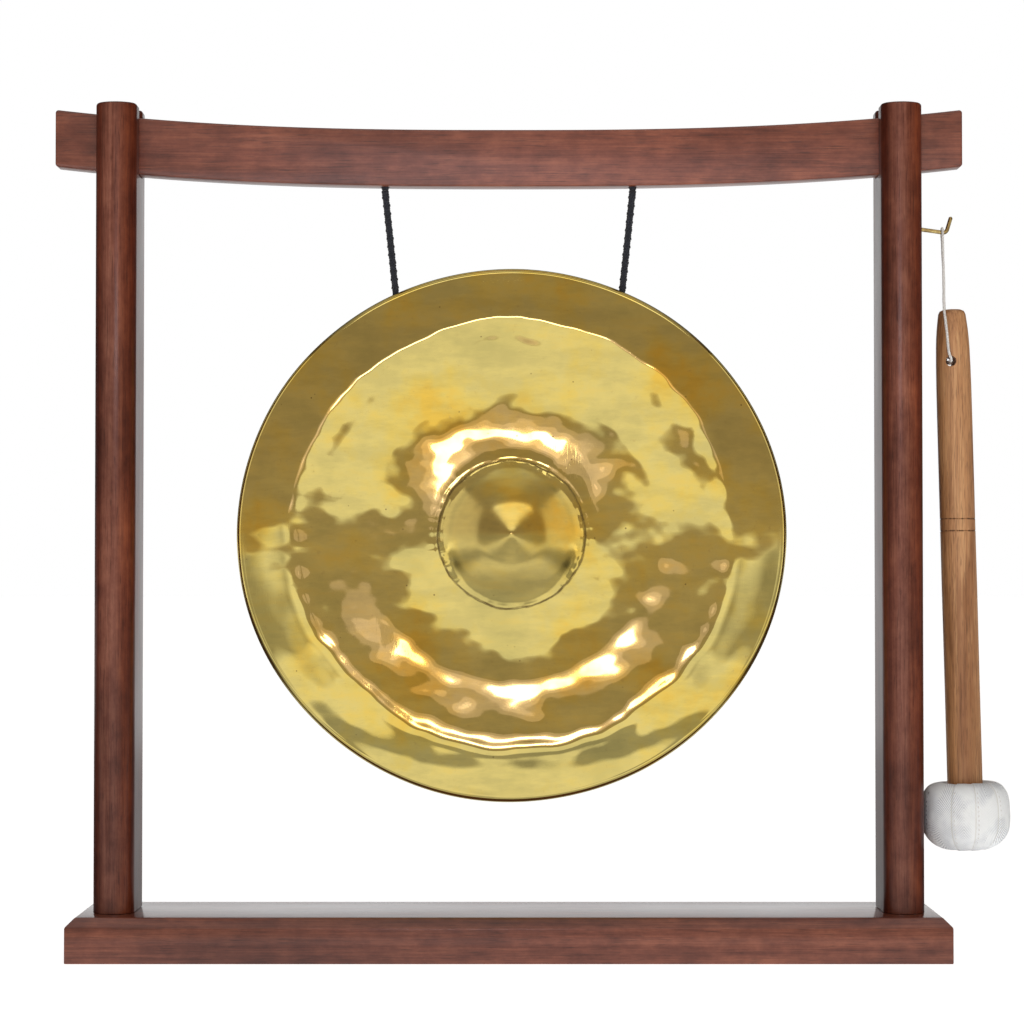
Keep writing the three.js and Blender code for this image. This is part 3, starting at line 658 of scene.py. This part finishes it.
# Ropes: black braid from the crossbar to the knots inside the rim, and the knots themselves.
def rope_line(side):
    top = Vector((side * ROPE_TOP_X, 0, ROPE_PIVOT_Z))
    rim = Vector((side * ROPE_RIM_X, 0, RIM_PIVOT_Z))
    return [top.lerp(rim, i / 16) for i in range(17)]


def knot_line(centre, size):
    """An overhand knot pulled round, closed on itself."""
    line = []
    for i in range(73):
        t = TURN * i / 72
        x = sin(t) + 2 * sin(2 * t)
        y = cos(t) - 2 * cos(2 * t)
        z = -1.15 * sin(3 * t)
        line.append(Vector(centre) + Vector((x, y, z)) * size)
    return line


def flare(s):
    """A rope's swelling where it leaves the crossbar."""
    return 1.0 + 0.22 * exp(-((s / 2.6) ** 2))


for side, label in ((-1, "left"), (1, "right")):
    line = rope_line(side)
    rope = mesh_object(f"braided_rope_{label}", *braid(line, ROPE_RADIUS, flare=flare), [ROPE_BLACK])
    attach(rope, "ropes", f"rope_{label}")
    down = (line[-1] - line[0]).normalized()
    centre = line[-1] + down * 5.6
    stub = braid([line[-1] - down * 1.0, line[-1] + down * 3.0], ROPE_RADIUS)
    knot = braid(knot_line(centre, 0.98), 1.45, pitch=6.0, spacing=0.6)
    tail_points = [centre + Vector(p) for p in ((1.5, 1.5, -2), (2.4, 3.6, -5), (1.6, 4.4, -10))]
    tail = braid(catmull(tail_points, 6), 1.7)
    knot_piece = mesh_object(f"rim_rope_knot_{label}", *merged([stub, knot, tail]), [ROPE_BLACK])
    attach(knot_piece, "gong", f"rim_knot_{label}")
    neck = Vector((side * ROPE_TOP_X, 0, bar_under(ROPE_TOP_X)))
    pocket = neck.z + BAR_HEIGHT - 10 + 0.3
    stub_ends = [neck + Vector((0, 0, 0.7 - ROPE_TOP_DROP)), Vector((neck.x, 0, pocket + 1.5))]
    stub = braid(stub_ends, ROPE_RADIUS)
    knot = braid(knot_line((neck.x, 0, pocket + 4.2), 0.95), 1.4, pitch=6.0, spacing=0.6)
    anchor = mesh_object(f"crossbar_rope_knot_{label}", *merged([stub, knot]), [ROPE_BLACK])
    attach(anchor, "stand", f"rope_anchor_{label}")

# String: a loop of white twine over the hook and through the handle.
hole_x, hole_z = MALLET_HOLE[0] - STRING_X, MALLET_HOLE[1] - STRING_Z
string_route = [
    (0, -2.2, 0), (-0.05, -2.35, -2), (-0.1, -4.6, -20), (-0.3, -7.7, -40.5), (0.3, -8.9, -48),
    (hole_x - 2.3, -9.8, hole_z + 15), (hole_x - 1.4, -10.4, hole_z + 5), (hole_x - 0.6, -10.4, hole_z + 2.2),
    (hole_x, -9.4, hole_z + 0.5), (hole_x, -7.6, hole_z), (hole_x, 0, hole_z), (hole_x, 7.6, hole_z),
    (hole_x, 9.4, hole_z + 0.5), (hole_x, 10.4, hole_z + 2.5), (3.1, 10, hole_z + 15), (2.7, 9.1, -48),
    (2.3, 8.2, -40.5), (1.4, 5, -20), (0.15, 2.35, -2), (0, 2.2, 0),
]
string_at = Vector((STRING_X, 0, STRING_Z))


def drift(s):
    """The string's unevenness at a place along it: fixed noise, the same in every run."""
    return Vector([noise.noise(Vector((at, 0.2, s / 7))) for at in (0.4, 13.6, 26.8)])


string_line, string_along = resampled(catmull([Vector(p) + string_at for p in string_route], 8), 1.0)
string_line = [
    p + 0.16 * drift(s) * min(1.0, s / 8, (string_along[-1] - s) / 8)
    for p, s in zip(string_line, string_along)
]
string = mesh_object("twisted_string", *twine(string_line, STRING_RADIUS), [TWINE_WHITE])
attach(string, "mallet_string", "mallet_string")
stop_centre = string_at + Vector((hole_x + 1.3, 11.2, hole_z + 0.6))
stop_line = knot_line(stop_centre, 0.52)
stop_knot = mesh_object("string_stop_knot", *twine(stop_line, STRING_RADIUS), [TWINE_WHITE])
attach(stop_knot, "mallet_string")
eye_line = []
for i in range(13):
    a = radians(-78 + 156 * i / 12)
    eye_line.append(string_at + Vector((0, STRING_EYE_RADIUS * sin(a), STRING_EYE_RADIUS * cos(a))))
eye = mesh_object("string_loop_top", *twine(eye_line, STRING_RADIUS), [TWINE_WHITE])
attach(eye, "string_eye", "string_eye")

# Stand: base board, posts and crossbar.
half_x, half_y = BASE_LENGTH / 2, BASE_DEPTH / 2
shoulder = BASE_THICKNESS - BASE_CHAMFER
corners = []
for inset, z in ((0, 0), (0, shoulder), (BASE_CHAMFER, BASE_THICKNESS)):
    x, y = half_x - inset, half_y - inset
    corners += [(-x, -y, z), (x, -y, z), (x, y, z), (-x, y, z)]
base_faces = [(3, 2, 1, 0), (8, 9, 10, 11)]
for level in (0, 4):
    for j in range(4):
        k = (j + 1) % 4
        base_faces.append((level + j, level + k, level + 4 + k, level + 4 + j))
base = mesh_object("base_plank", corners, base_faces, [WOOD_BASE], smooth=False)
bevelled(base, 0.7, 3, 25)
holes = []
for x in (-POST_X, POST_X):
    for y in (-SCREW_Y, SCREW_Y):
        holes.append(rod_cutter((x, y, -1), (x, y, 1), SCREW_HEAD_HOLE))
        holes.append(rod_cutter((x, y, 0.9), (x, y, 4.2), SCREW_HEAD_HOLE, SCREW_HOLE))
cut_out(base, holes)
sharp_above(base, 18)
attach(base, "stand", "base_board")


def post_outline(inset, arc=28):
    half, flat = POST_WIDTH / 2 - inset, POST_FLAT_DEPTH / 2
    outline = []
    for way in (1, -1):
        for i in range(arc + 1):
            a = pi * i / arc
            outline.append((way * half * cos(a), way * (flat + (POST_BULGE - inset) * sin(a))))
    return outline


for side, label, wood in ((-1, "left", WOOD_LEFT), (1, "right", WOOD_RIGHT)):
    points = []
    levels = [(0, POST_FOOT)]
    levels += [(0, POST_FOOT + (POST_TOP - POST_ROUND - POST_FOOT) * i / 24) for i in range(1, 25)]
    for a in (0.4, 0.8, 1.2, pi / 2):
        levels.append((POST_ROUND - POST_ROUND * cos(a), POST_TOP - POST_ROUND + POST_ROUND * sin(a)))
    for inset, z in levels:
        points += [(side * POST_X + x, y, z) for x, y in post_outline(inset)]
    count = len(post_outline(0))
    faces = ring_faces(len(levels), count)
    faces.append(tuple(range(count))[::-1])
    faces.append(tuple(range((len(levels) - 1) * count, len(levels) * count)))
    post = face_out(mesh_object(f"bulged_post_{label}", points, faces, [wood]))
    x = side * POST_X
    countersink = (x, BAR_SCREW_BACK - 3, BAR_SCREW_Z), (x, BAR_SCREW_BACK + 0.01, BAR_SCREW_Z)
    cut_out(post, [
        box_cutter((x - 20, -SLOT_WIDTH / 2, SLOT_FLOOR), (x + 20, SLOT_WIDTH / 2, POST_TOP + 20)),
        rod_cutter((x, BAR_SCREW_BACK, BAR_SCREW_Z), (x, 30, BAR_SCREW_Z), SCREW_HEAD_HOLE),
        rod_cutter(*countersink, SCREW_HOLE, SCREW_HEAD_HOLE),
    ])
    sharp_above(post, 32)
    attach(post, "stand", f"post_{label}")

outline = []
steps = 80
end = BAR_HALF_LENGTH - BAR_END_ROUND
low, high = bar_under(end), BAR_MID_TOP + sag(end)
for way, near, far in ((1, low, high), (-1, high, low)):
    for i in range(steps + 1):
        x = way * (2 * end * i / steps - end)
        outline.append((x, bar_under(x) if way > 0 else BAR_MID_TOP + sag(x)))
    for t in map(radians, (15, 35, 55, 75, 90)):
        outline.append((way * (end + BAR_END_ROUND * sin(t)), near + way * BAR_END_ROUND * (1 - cos(t))))
    for t in map(radians, (0, 15, 35, 55, 75)):
        outline.append((way * (end + BAR_END_ROUND * cos(t)), far - way * BAR_END_ROUND * (1 - sin(t))))
half = BAR_THICKNESS / 2
points = [(x, -half, z) for x, z in outline] + [(x, half, z) for x, z in outline]
count = len(outline)
faces = [(j, (j + 1) % count, count + (j + 1) % count, count + j) for j in range(count)]
faces += [tuple(range(count))[::-1], tuple(range(count, 2 * count))]
crossbar = face_out(mesh_object("sagging_crossbar", points, faces, [WOOD_BAR], smooth=False))
bevelled(crossbar, 1.1, 4, 50)
cutters = []
for x in (-ROPE_TOP_X, ROPE_TOP_X):
    top = BAR_MID_TOP + sag(x)
    cutters.append(rod_cutter((x, 0, bar_under(x) - 5), (x, 0, top - 9), ROPE_HOLE_IN_BAR))
    cutters.append(rod_cutter((x, 0, top - 10), (x, 0, top + 5), ROPE_POCKET))
cut_out(crossbar, cutters)
sharp_above(crossbar, 30)
attach(crossbar, "stand", "crossbar")

for name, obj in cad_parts.items():
    if "screw" in name or name == "mallet_core":
        obj.data.materials.clear()
        obj.data.materials.append(STEEL if "screw" in name else RUBBER)
    if "screw" in name:
        sharpen = obj.modifiers.new("bevel", "BEVEL")
        sharpen.width = 0.15 * MM
        sharpen.segments = 2
        sharpen.limit_method = "ANGLE"

# Hook: bent brass wire with a rounded tip.
out = Vector((1, 0, -HOOK_SLOPE)).normalized()
up = Vector((sin(HOOK_TIP_ANGLE), 0, cos(HOOK_TIP_ANGLE)))
mouth = Vector((HOOK_POST_X, 0, HOOK_POST_Z))
tip = Vector((HOOK_TIP[0], 0, HOOK_TIP[1]))
to_tip = tip - mouth
reach = (to_tip.x * up.z - to_tip.z * up.x) / (out.x * up.z - out.z * up.x)
corner = mouth + out * reach
bend = acos(out.dot(up))
back = HOOK_BEND_RADIUS * tan(bend / 2)
inward = Vector((-out.z, 0, out.x))
middle = corner - out * back + inward * HOOK_BEND_RADIUS
hook_line = [mouth - out * 12, mouth - out * 6, mouth, mouth.lerp(corner - out * back, 0.5)]
for i in range(9):
    a = bend * i / 8
    hook_line.append(middle + (-inward * cos(a) + out * sin(a)) * HOOK_BEND_RADIUS)
hook_line += [(corner + up * back).lerp(tip, 0.5), tip]
hook_line, hook_along = resampled(hook_line, 0.5)
past_tip = [min(max(s - hook_along[-1] + HOOK_TIP_ROUND, 0), 1) / HOOK_TIP_ROUND for s in hook_along]
radii = [HOOK_RADIUS * sqrt(max(1 - t ** 2, 0.09)) for t in past_tip]
hook = mesh_object("bent_wire_hook", *tube_points(hook_line, radii, 20), [HOOK_BRASS])
attach(hook, "stand", "mallet_hook")


# Gong: a hammered dish.
def smooth_heights(table, at):
    """Heights through a table of (place, height), with no overshoot."""
    x, y = np.array(table, float).T
    h = np.diff(x)
    slope = np.diff(y) / h
    tangent = np.zeros(len(x))
    for i in range(1, len(x) - 1):
        if slope[i - 1] * slope[i] > 0:
            w1, w2 = 2 * h[i] + h[i - 1], h[i] + 2 * h[i - 1]
            tangent[i] = (w1 + w2) / (w1 / slope[i - 1] + w2 / slope[i])
    tangent[-1] = slope[-1]
    i = np.clip(np.searchsorted(x, at, side="right") - 1, 0, len(x) - 2)
    t = (at - x[i]) / h[i]
    return (
        (1 + 2 * t) * (1 - t) ** 2 * y[i] + t * (1 - t) ** 2 * h[i] * tangent[i]
        + t * t * (3 - 2 * t) * y[i + 1] + t * t * (t - 1) * h[i] * tangent[i + 1]
    )


GONG_AROUND, RING_STEP, INSIDE_RING_STEP = 300, 1.2, 1.8
RIDGE_AT, RIDGE_SPREAD, BOSS_AT, BOSS_SPREAD = 118, 14, 41.5, 3.5


def hammered(x, z):
    """Height of the hammer's unevenness at a place on the gong, in millimetres."""
    r = hypot(x, z)
    big, mid, small, fine = (
        noise.noise(Vector((x / size, z / size, seed)))
        for size, seed in ((46, 3.1), (21, 7.7), (9.5, 1.9), (4.6, 4.4))
    )
    flat = min(max((r - 42) / 12, 0.15), 1.0)
    return flat * (0.42 * big + 0.26 * mid) + (0.055 * small + 0.014 * fine) * (0.15 + 0.85 * flat)


def gong_section():
    """Rings of the dish, outside then inside: (kind, radius, depth behind the edge)."""
    rings = [("face", r, 0.0) for r in (*np.arange(RING_STEP, FACE_RADIUS, RING_STEP), FACE_RADIUS)]
    mid_r = GONG_RADIUS_X - GONG_FOLD
    for i in range(1, 9):
        a = pi / 2 * i / 8
        rings.append(("rim", mid_r + GONG_FOLD * sin(a), GONG_FOLD - GONG_FOLD * cos(a)))
    lip, lip_depth = GONG_RADIUS_X - GONG_RIM_TAPER, GONG_RIM_DEPTH - LIP_RADIUS
    along_rim = []
    for i in range(13):
        t = i / 12
        along_rim.append(((lip - GONG_RADIUS_X) * t, GONG_FOLD + (lip_depth - GONG_FOLD) * t))
    rings += [("rim", GONG_RADIUS_X + narrower, depth) for narrower, depth in along_rim[1:]]
    for t in map(radians, (30, 60, 90, 120, 150, 180)):
        rings.append(("rim", lip - LIP_RADIUS + LIP_RADIUS * cos(t), lip_depth + LIP_RADIUS * sin(t)))
    for narrower, depth in along_rim[-2::-1]:
        rings.append(("in_rim", GONG_RADIUS_X - GONG_WALL + narrower, depth))
    inner = GONG_FOLD - GONG_WALL
    for i in range(5, -1, -1):
        a = pi / 2 * i / 6
        rings.append(("in_rim", mid_r + inner * sin(a), GONG_FOLD - inner * cos(a)))
    rings += [("in_face", r, 0.0) for r in np.arange(INSIDE_RING_STEP, 144.5, INSIDE_RING_STEP)[::-1]]
    return rings


def noise_around(a, size, seed):
    """Noise at an angle round the gong, which meets itself after a turn."""
    return noise.noise(Vector((size * cos(a), size * sin(a), seed)))


def gong_mesh():
    rings = gong_section()
    points = []
    angles = circle(GONG_AROUND)
    waves = ((0.9, 2.6, 5.0), (0.7, 6, 9.0), (0.45, 14, 2.0))
    wave = [sum(height * noise_around(a, size, seed) for height, size, seed in waves) for a in angles]
    out_of_round = [0.55 * noise_around(a, 2.2, 12.0) for a in angles]
    for kind, r, depth in rings:
        near_ridge = exp(-(((r - RIDGE_AT) / RIDGE_SPREAD) ** 2))
        near_boss = exp(-(((r - BOSS_AT) / BOSS_SPREAD) ** 2))
        squash = 1 - (1 - GONG_RADIUS_Z / GONG_RADIUS_X) * (r / GONG_RADIUS_X) ** 2
        edge = (r / GONG_RADIUS_X) ** 4
        for j, a in enumerate(angles):
            grown = r + out_of_round[j] * edge
            x, z = grown * sin(a), grown * cos(a) * squash
            y = depth
            if "face" in kind:
                looked = r + 2.4 * wave[j] * near_ridge + 0.75 * wave[(j * 2) % GONG_AROUND] * near_boss
                h = float(smooth_heights(GONG_FACE, np.array([min(max(looked, 0), FACE_RADIUS)]))[0])
                y = -h - hammered(x, z) * (1 - edge ** 3)
                y += 0.4 * exp(-(((looked - 40.3) / 0.9) ** 2)) if kind == "face" else GONG_WALL
            points.append((GONG_X + x, GONG_EDGE_Y + y, GONG_Z + z))
    faces = ring_faces(len(rings), GONG_AROUND)
    for first, wall in ((0, 0), ((len(rings) - 1) * GONG_AROUND, GONG_WALL)):
        faces += fan(len(points), first, GONG_AROUND)
        points.append((GONG_X, GONG_EDGE_Y + (-GONG_FACE[0][1] - hammered(0, 0) + wall), GONG_Z))
    return face_out(mesh_object("hammered_gong", points, faces, [BRASS, BRASS_INSIDE]))


gong = gong_mesh()
holes = []
for side in (-1, 1):
    down = Vector((-side * (ROPE_TOP_X - ROPE_RIM_X), 0, -(ROPE_PIVOT_Z - RIM_PIVOT_Z))).normalized()
    at = Vector((side * ROPE_RIM_X, 0, RIM_PIVOT_Z))
    holes.append(rod_cutter(at - down * 5, at + down * 6, ROPE_HOLE_IN_GONG, segments=24))
cut_out(gong, holes)
for polygon in gong.data.polygons:
    c = polygon.center
    r = hypot(c.x / MM - GONG_X, (c.z / MM - GONG_Z) * GONG_RADIUS_X / GONG_RADIUS_Z)
    depth = c.y / MM - GONG_EDGE_Y
    outwards = polygon.normal.x * (c.x / MM - GONG_X) + polygon.normal.z * (c.z / MM - GONG_Z)
    inside = polygon.normal.y > 0.3 or (depth > 1 and outwards < 0)
    polygon.material_index = 1 if inside and r < GONG_RADIUS_X - LIP_RADIUS else 0
gong.data.polygons.foreach_set("use_smooth", [True] * len(gong.data.polygons))
attach(gong, "gong", "gong_disc")

# Mallet: turned handle, padding and tape cover, placed at the hole and leaning outwards.
hole_at = Vector((MALLET_HOLE[0], 0, MALLET_HOLE[1]))
lean = Matrix.Translation(hole_at * MM) @ Matrix.Rotation(-MALLET_LEAN, 4, "Y")


def placed(obj):
    obj.data.transform(lean)
    return obj


handle = turned("turned_handle", HANDLE_PROFILE, 72, [TEAK], (MALLET_AXIS_X, 0, 0))
cut_out(handle, [rod_cutter((0, -15, 0), (0, 15, 0), MALLET_HOLE_RADIUS)])
placed(sharp_above(handle, 40))
attach(handle, "mallet", "mallet_handle")

padding = placed(turned("felt_pad", PADDING_PROFILE, 48, [FELT], (MALLET_AXIS_X, 0, -HEAD_BELOW_HOLE)))
attach(padding, "mallet", "mallet_padding")


def tape_lift(x):
    """How far the tape stands out, in millimetres: each strip lies over the edge of the one before."""
    u = ((x - TAPE_START) / TAPE_WIDTH) % 1.0
    ramp_up = 0.42 * (1 - u)
    step = 0.5 * (1 + tanh((u - 0.045) / 0.022)) - 0.5 * (1 + tanh((u - 1.045) / 0.022))
    return ramp_up * step + 0.12 * sin(pi * u)


def cover_mesh():
    outer, _ = resampled(catmull([(r, 0, h) for r, h in COVER_PROFILE], 8), 0.55)
    around, sunk = 260, 0.35
    points = []
    for i, p in enumerate(outer):
        before, after = outer[max(i - 1, 0)], outer[min(i + 1, len(outer) - 1)]
        slope = (after - before).normalized()
        for a in circle(around):
            x, y = p.x * cos(a), p.x * sin(a)
            bulge = 0.35 * noise.noise(Vector((x / 14, y / 14, p.z / 14)))
            spread = COVER_RADIUS / max(p.x, TAPE_NARROWEST)
            lift = (tape_lift(x * spread) + bulge) * min(1.0, max(p.x - 8.5, 0) / 6 if p.z > 10 else 1.0)
            grow = p.x + slope.z * (lift - sunk)
            points.append((grow * cos(a), grow * sin(a), p.z - slope.x * (lift - sunk)))
    inner = [
        (9.8, 14.4), (13.6, 16.2), (17.6, 15.1), (20.3, 12.0), (21.7, 8), (22, 2),
        (21.8, -3), (20.8, -8), (18.4, -12.3), (14.5, -15.4), (9, -16.8),
    ]
    for r, h in inner:
        points += ring_points(r, h, around)
    rings = len(outer) + len(inner)
    faces = ring_faces(rings, around) + fan(len(points), (rings - 1) * around, around)
    points.append((0, 0, -17))
    shifted = [(x + MALLET_AXIS_X, y, z - HEAD_BELOW_HOLE) for x, y, z in points]
    return face_out(mesh_object("taped_head", shifted, faces, [TAPE]))


cover = placed(cover_mesh())
attach(cover, "mallet", "mallet_cover")

# Stitches along the tape's edges, front and back: dark on the selvedge by the post, pale on the others.
COVER_OUT = sorted((h, r) for r, h in COVER_PROFILE if r > 12)


def cover_radius(z):
    return float(np.interp(z, [h for h, r in COVER_OUT], [r for h, r in COVER_OUT]))


dark_stitches, pale_stitches = [], []
for seam in range(4):
    across = (TAPE_START + TAPE_WIDTH * seam + 1.5) / COVER_RADIUS
    if abs(across) > 0.97:
        continue
    for front in (-1, 1):
        for step in range(12):
            ends = []
            for z in (-13.5 + 2.4 * step, -12.4 + 2.4 * step):
                r = cover_radius(z) + 0.15
                y = front * r * sqrt(1 - across ** 2)
                ends.append(Vector((across * r + MALLET_AXIS_X, y, z - HEAD_BELOW_HOLE)))
            middle = ends[0].lerp(ends[1], 0.5) + Vector((0, front * 0.12, 0))
            stitch = tube_points([ends[0], middle, ends[1]], [0.13, 0.2, 0.13], 6)
            (dark_stitches if seam == 0 else pale_stitches).append(stitch)
for name, parts, cloth in (
    ("selvedge_stitches", dark_stitches, STITCH_DARK),
    ("tape_stitches", pale_stitches, TWINE_WHITE),
):
    stitching = placed(mesh_object(name, *merged(parts), [cloth]))
    attach(stitching, "mallet")

# World: white for the camera, and in reflections a white back, a dim studio in front and a pale top.
world = bpy.data.worlds.new("studio")
scene.world = world
world.use_nodes = True
n = Net(world.node_tree)
background = n.tree.nodes["Background"]
direction = n.node("ShaderNodeTexCoord").outputs["Generated"]
parts = n.node("ShaderNodeSeparateXYZ", None, {0: direction})
elevation = n.calc("ARCSINE", parts.outputs[2])
level = n.calc("MULTIPLY_ADD", elevation, 1 / pi, 0.5)


def by_angle(*stops):
    """A ramp over degrees above the horizon."""
    return n.ramp(level, [(0.5 + degrees / 180, colour) for degrees, colour in stops])


front = by_angle(
    (-90, (0.40, 0.38, 0.35)), (-30, 0.95), (-0.3, 0.95), (0.3, (0.42, 0.36, 0.29)), (10, (0.36, 0.30, 0.24)),
    (24, (0.34, 0.285, 0.23)), (60, (0.40, 0.36, 0.31)), (67, (0.60, 0.58, 0.55)), (90, (0.60, 0.60, 0.58)),
)
sides = by_angle((-90, 0.6), (-40, 0.04), (40, 0.04), (65, 0.6), (90, (0.60, 0.60, 0.58)))
rear = n.ramp(level, [(0.0, 0.9), (0.5, 1.0), (0.8, 0.9), (1.0, 0.5)])
depth = n.calc("MULTIPLY_ADD", parts.outputs[1], 0.5, 0.5)
front = n.mixed(n.ramp(depth, [(0.34, 0.0), (0.42, 1.0)]), front, sides)
side_mask = n.ramp(depth, [(0.95, 0.0), (0.985, 1.0)])
studio = n.mixed(side_mask, front, rear)
seen = n.node("ShaderNodeLightPath").outputs["Is Camera Ray"]
shown = n.mixed(seen, studio, (1.0, 1.0, 1.0, 1.0))
n.tree.links.new(shown, background.inputs["Color"])
background.inputs["Strength"].default_value = 1.0


def area_light(name, place, width, height, radiance, target=(0, 0, 0.23)):
    data = bpy.data.lights.new(name, "AREA")
    data.shape = "RECTANGLE"
    data.size = width
    data.size_y = height
    data.energy = radiance * pi * width * height
    obj = bpy.data.objects.new(name, data)
    scene.collection.objects.link(obj)
    obj.location = place
    obj.rotation_euler = (Vector(target) - Vector(place)).to_track_quat("-Z", "Y").to_euler()
    obj.visible_camera = False
    return obj


area_light("lamp_over_camera", (-0.10, -1.80, 0.49), 0.46, 0.11, 5.0)
fill = area_light("front_fill", (0.35, -2.3, 1.0), 1.6, 1.2, 1.75, (0, 0, 0.22))
fill.visible_glossy = False
area_light("front_softbox", (0.05, -1.42, 1.61), 2.0, 0.42, 1.15)
for step, (width, height, radiance) in enumerate(((0.56, 0.17, 0.5), (0.68, 0.24, 0.35), (0.84, 0.34, 0.3))):
    halo = area_light(f"lamp_halo_{step}", (-0.12, -1.82 - 0.01 * step, 0.50), width, height, radiance)
    halo.data.color = (0.78, 0.64, 1.0)

# Two pale panels beside the gong, for the gong alone: its rolled edge and the boss's flanks reflect them.
gong_only = bpy.data.collections.new("lit_by_side_panels")
gong_only.objects.link(gong)
for side in (-1, 1):
    panel = area_light(f"side_panel_{side}", (side * 1.0, -0.05, 0.60), 1.3, 1.2, 0.5, (0, -0.05, 0.60))
    panel.light_linking.receiver_collection = gong_only

# Floor: white to the camera; reflections see it dimmer right in front of the object.
floor_material, n, shader = material("pale_floor", (0.92, 0.92, 0.92), 0.9)
grit = n.grain(3.0, 3.0)
n.shade("Base Color", n.ramp(grit, [(0.3, 0.90), (0.7, 0.93)]))
shader.inputs["Emission Color"].default_value = (1, 1, 1, 1)
shader.inputs["Emission Strength"].default_value = 0.75
glossy = n.node("ShaderNodeLightPath").outputs["Is Glossy Ray"]
place_x, place_y, _ = n.axes()
aside, ahead = n.calc("ABSOLUTE", place_x), n.times(place_y, -1.0)
near = n.ramp(n.plus(place_y, 0.6), [
    (0.22, 0.95), (0.25, 0.42), (0.335, 0.42), (0.358, 0.95),
    (0.44, 0.95), (0.47, 0.5), (0.56, 0.6), (0.62, 0.5),
])
beside = n.ramp(aside, [(0.26, 1.0), (0.40, 0.12)])
behind = n.ramp(n.plus(place_y, 0.5), [(0.18, 0.0), (0.34, 1.0)])
near = n.mixed(behind, near, n.tinted(near, beside))
spread = n.calc("DIVIDE", aside, n.calc("MAXIMUM", ahead, 0.05))
spread = n.ramp(n.times(spread, 0.5), [(0.20, 0.0), (0.30, 1.0)])
forward = n.ramp(ahead, [(0.56, 0.0), (0.72, 1.0)])
near = n.mixed(n.times(spread, forward), near, (0.42, 0.40, 0.36, 1.0))
far = n.ramp(n.times(place_y, 0.25), [(0.40, 0.0), (0.60, 1.0)])
near = n.mixed(far, near, (0.95, 0.95, 0.95, 1.0))
plain = n.node("ShaderNodeEmission", None, {"Color": near, "Strength": 1.0}).outputs[0]
both = n.node("ShaderNodeMixShader", None, {0: glossy, 1: shader.outputs[0], 2: plain}).outputs[0]
n.tree.links.new(both, n.tree.nodes["Material Output"].inputs["Surface"])
floor_corners = [(x * FLOOR_REACH, y * FLOOR_REACH, 0) for x, y in ((-1, -1), (1, -1), (1, 1), (-1, 1))]
floor = mesh_object("floor", floor_corners, [(0, 1, 2, 3)], [floor_material])

scene.view_settings.view_transform = "Standard"
scene.view_settings.look = "None"
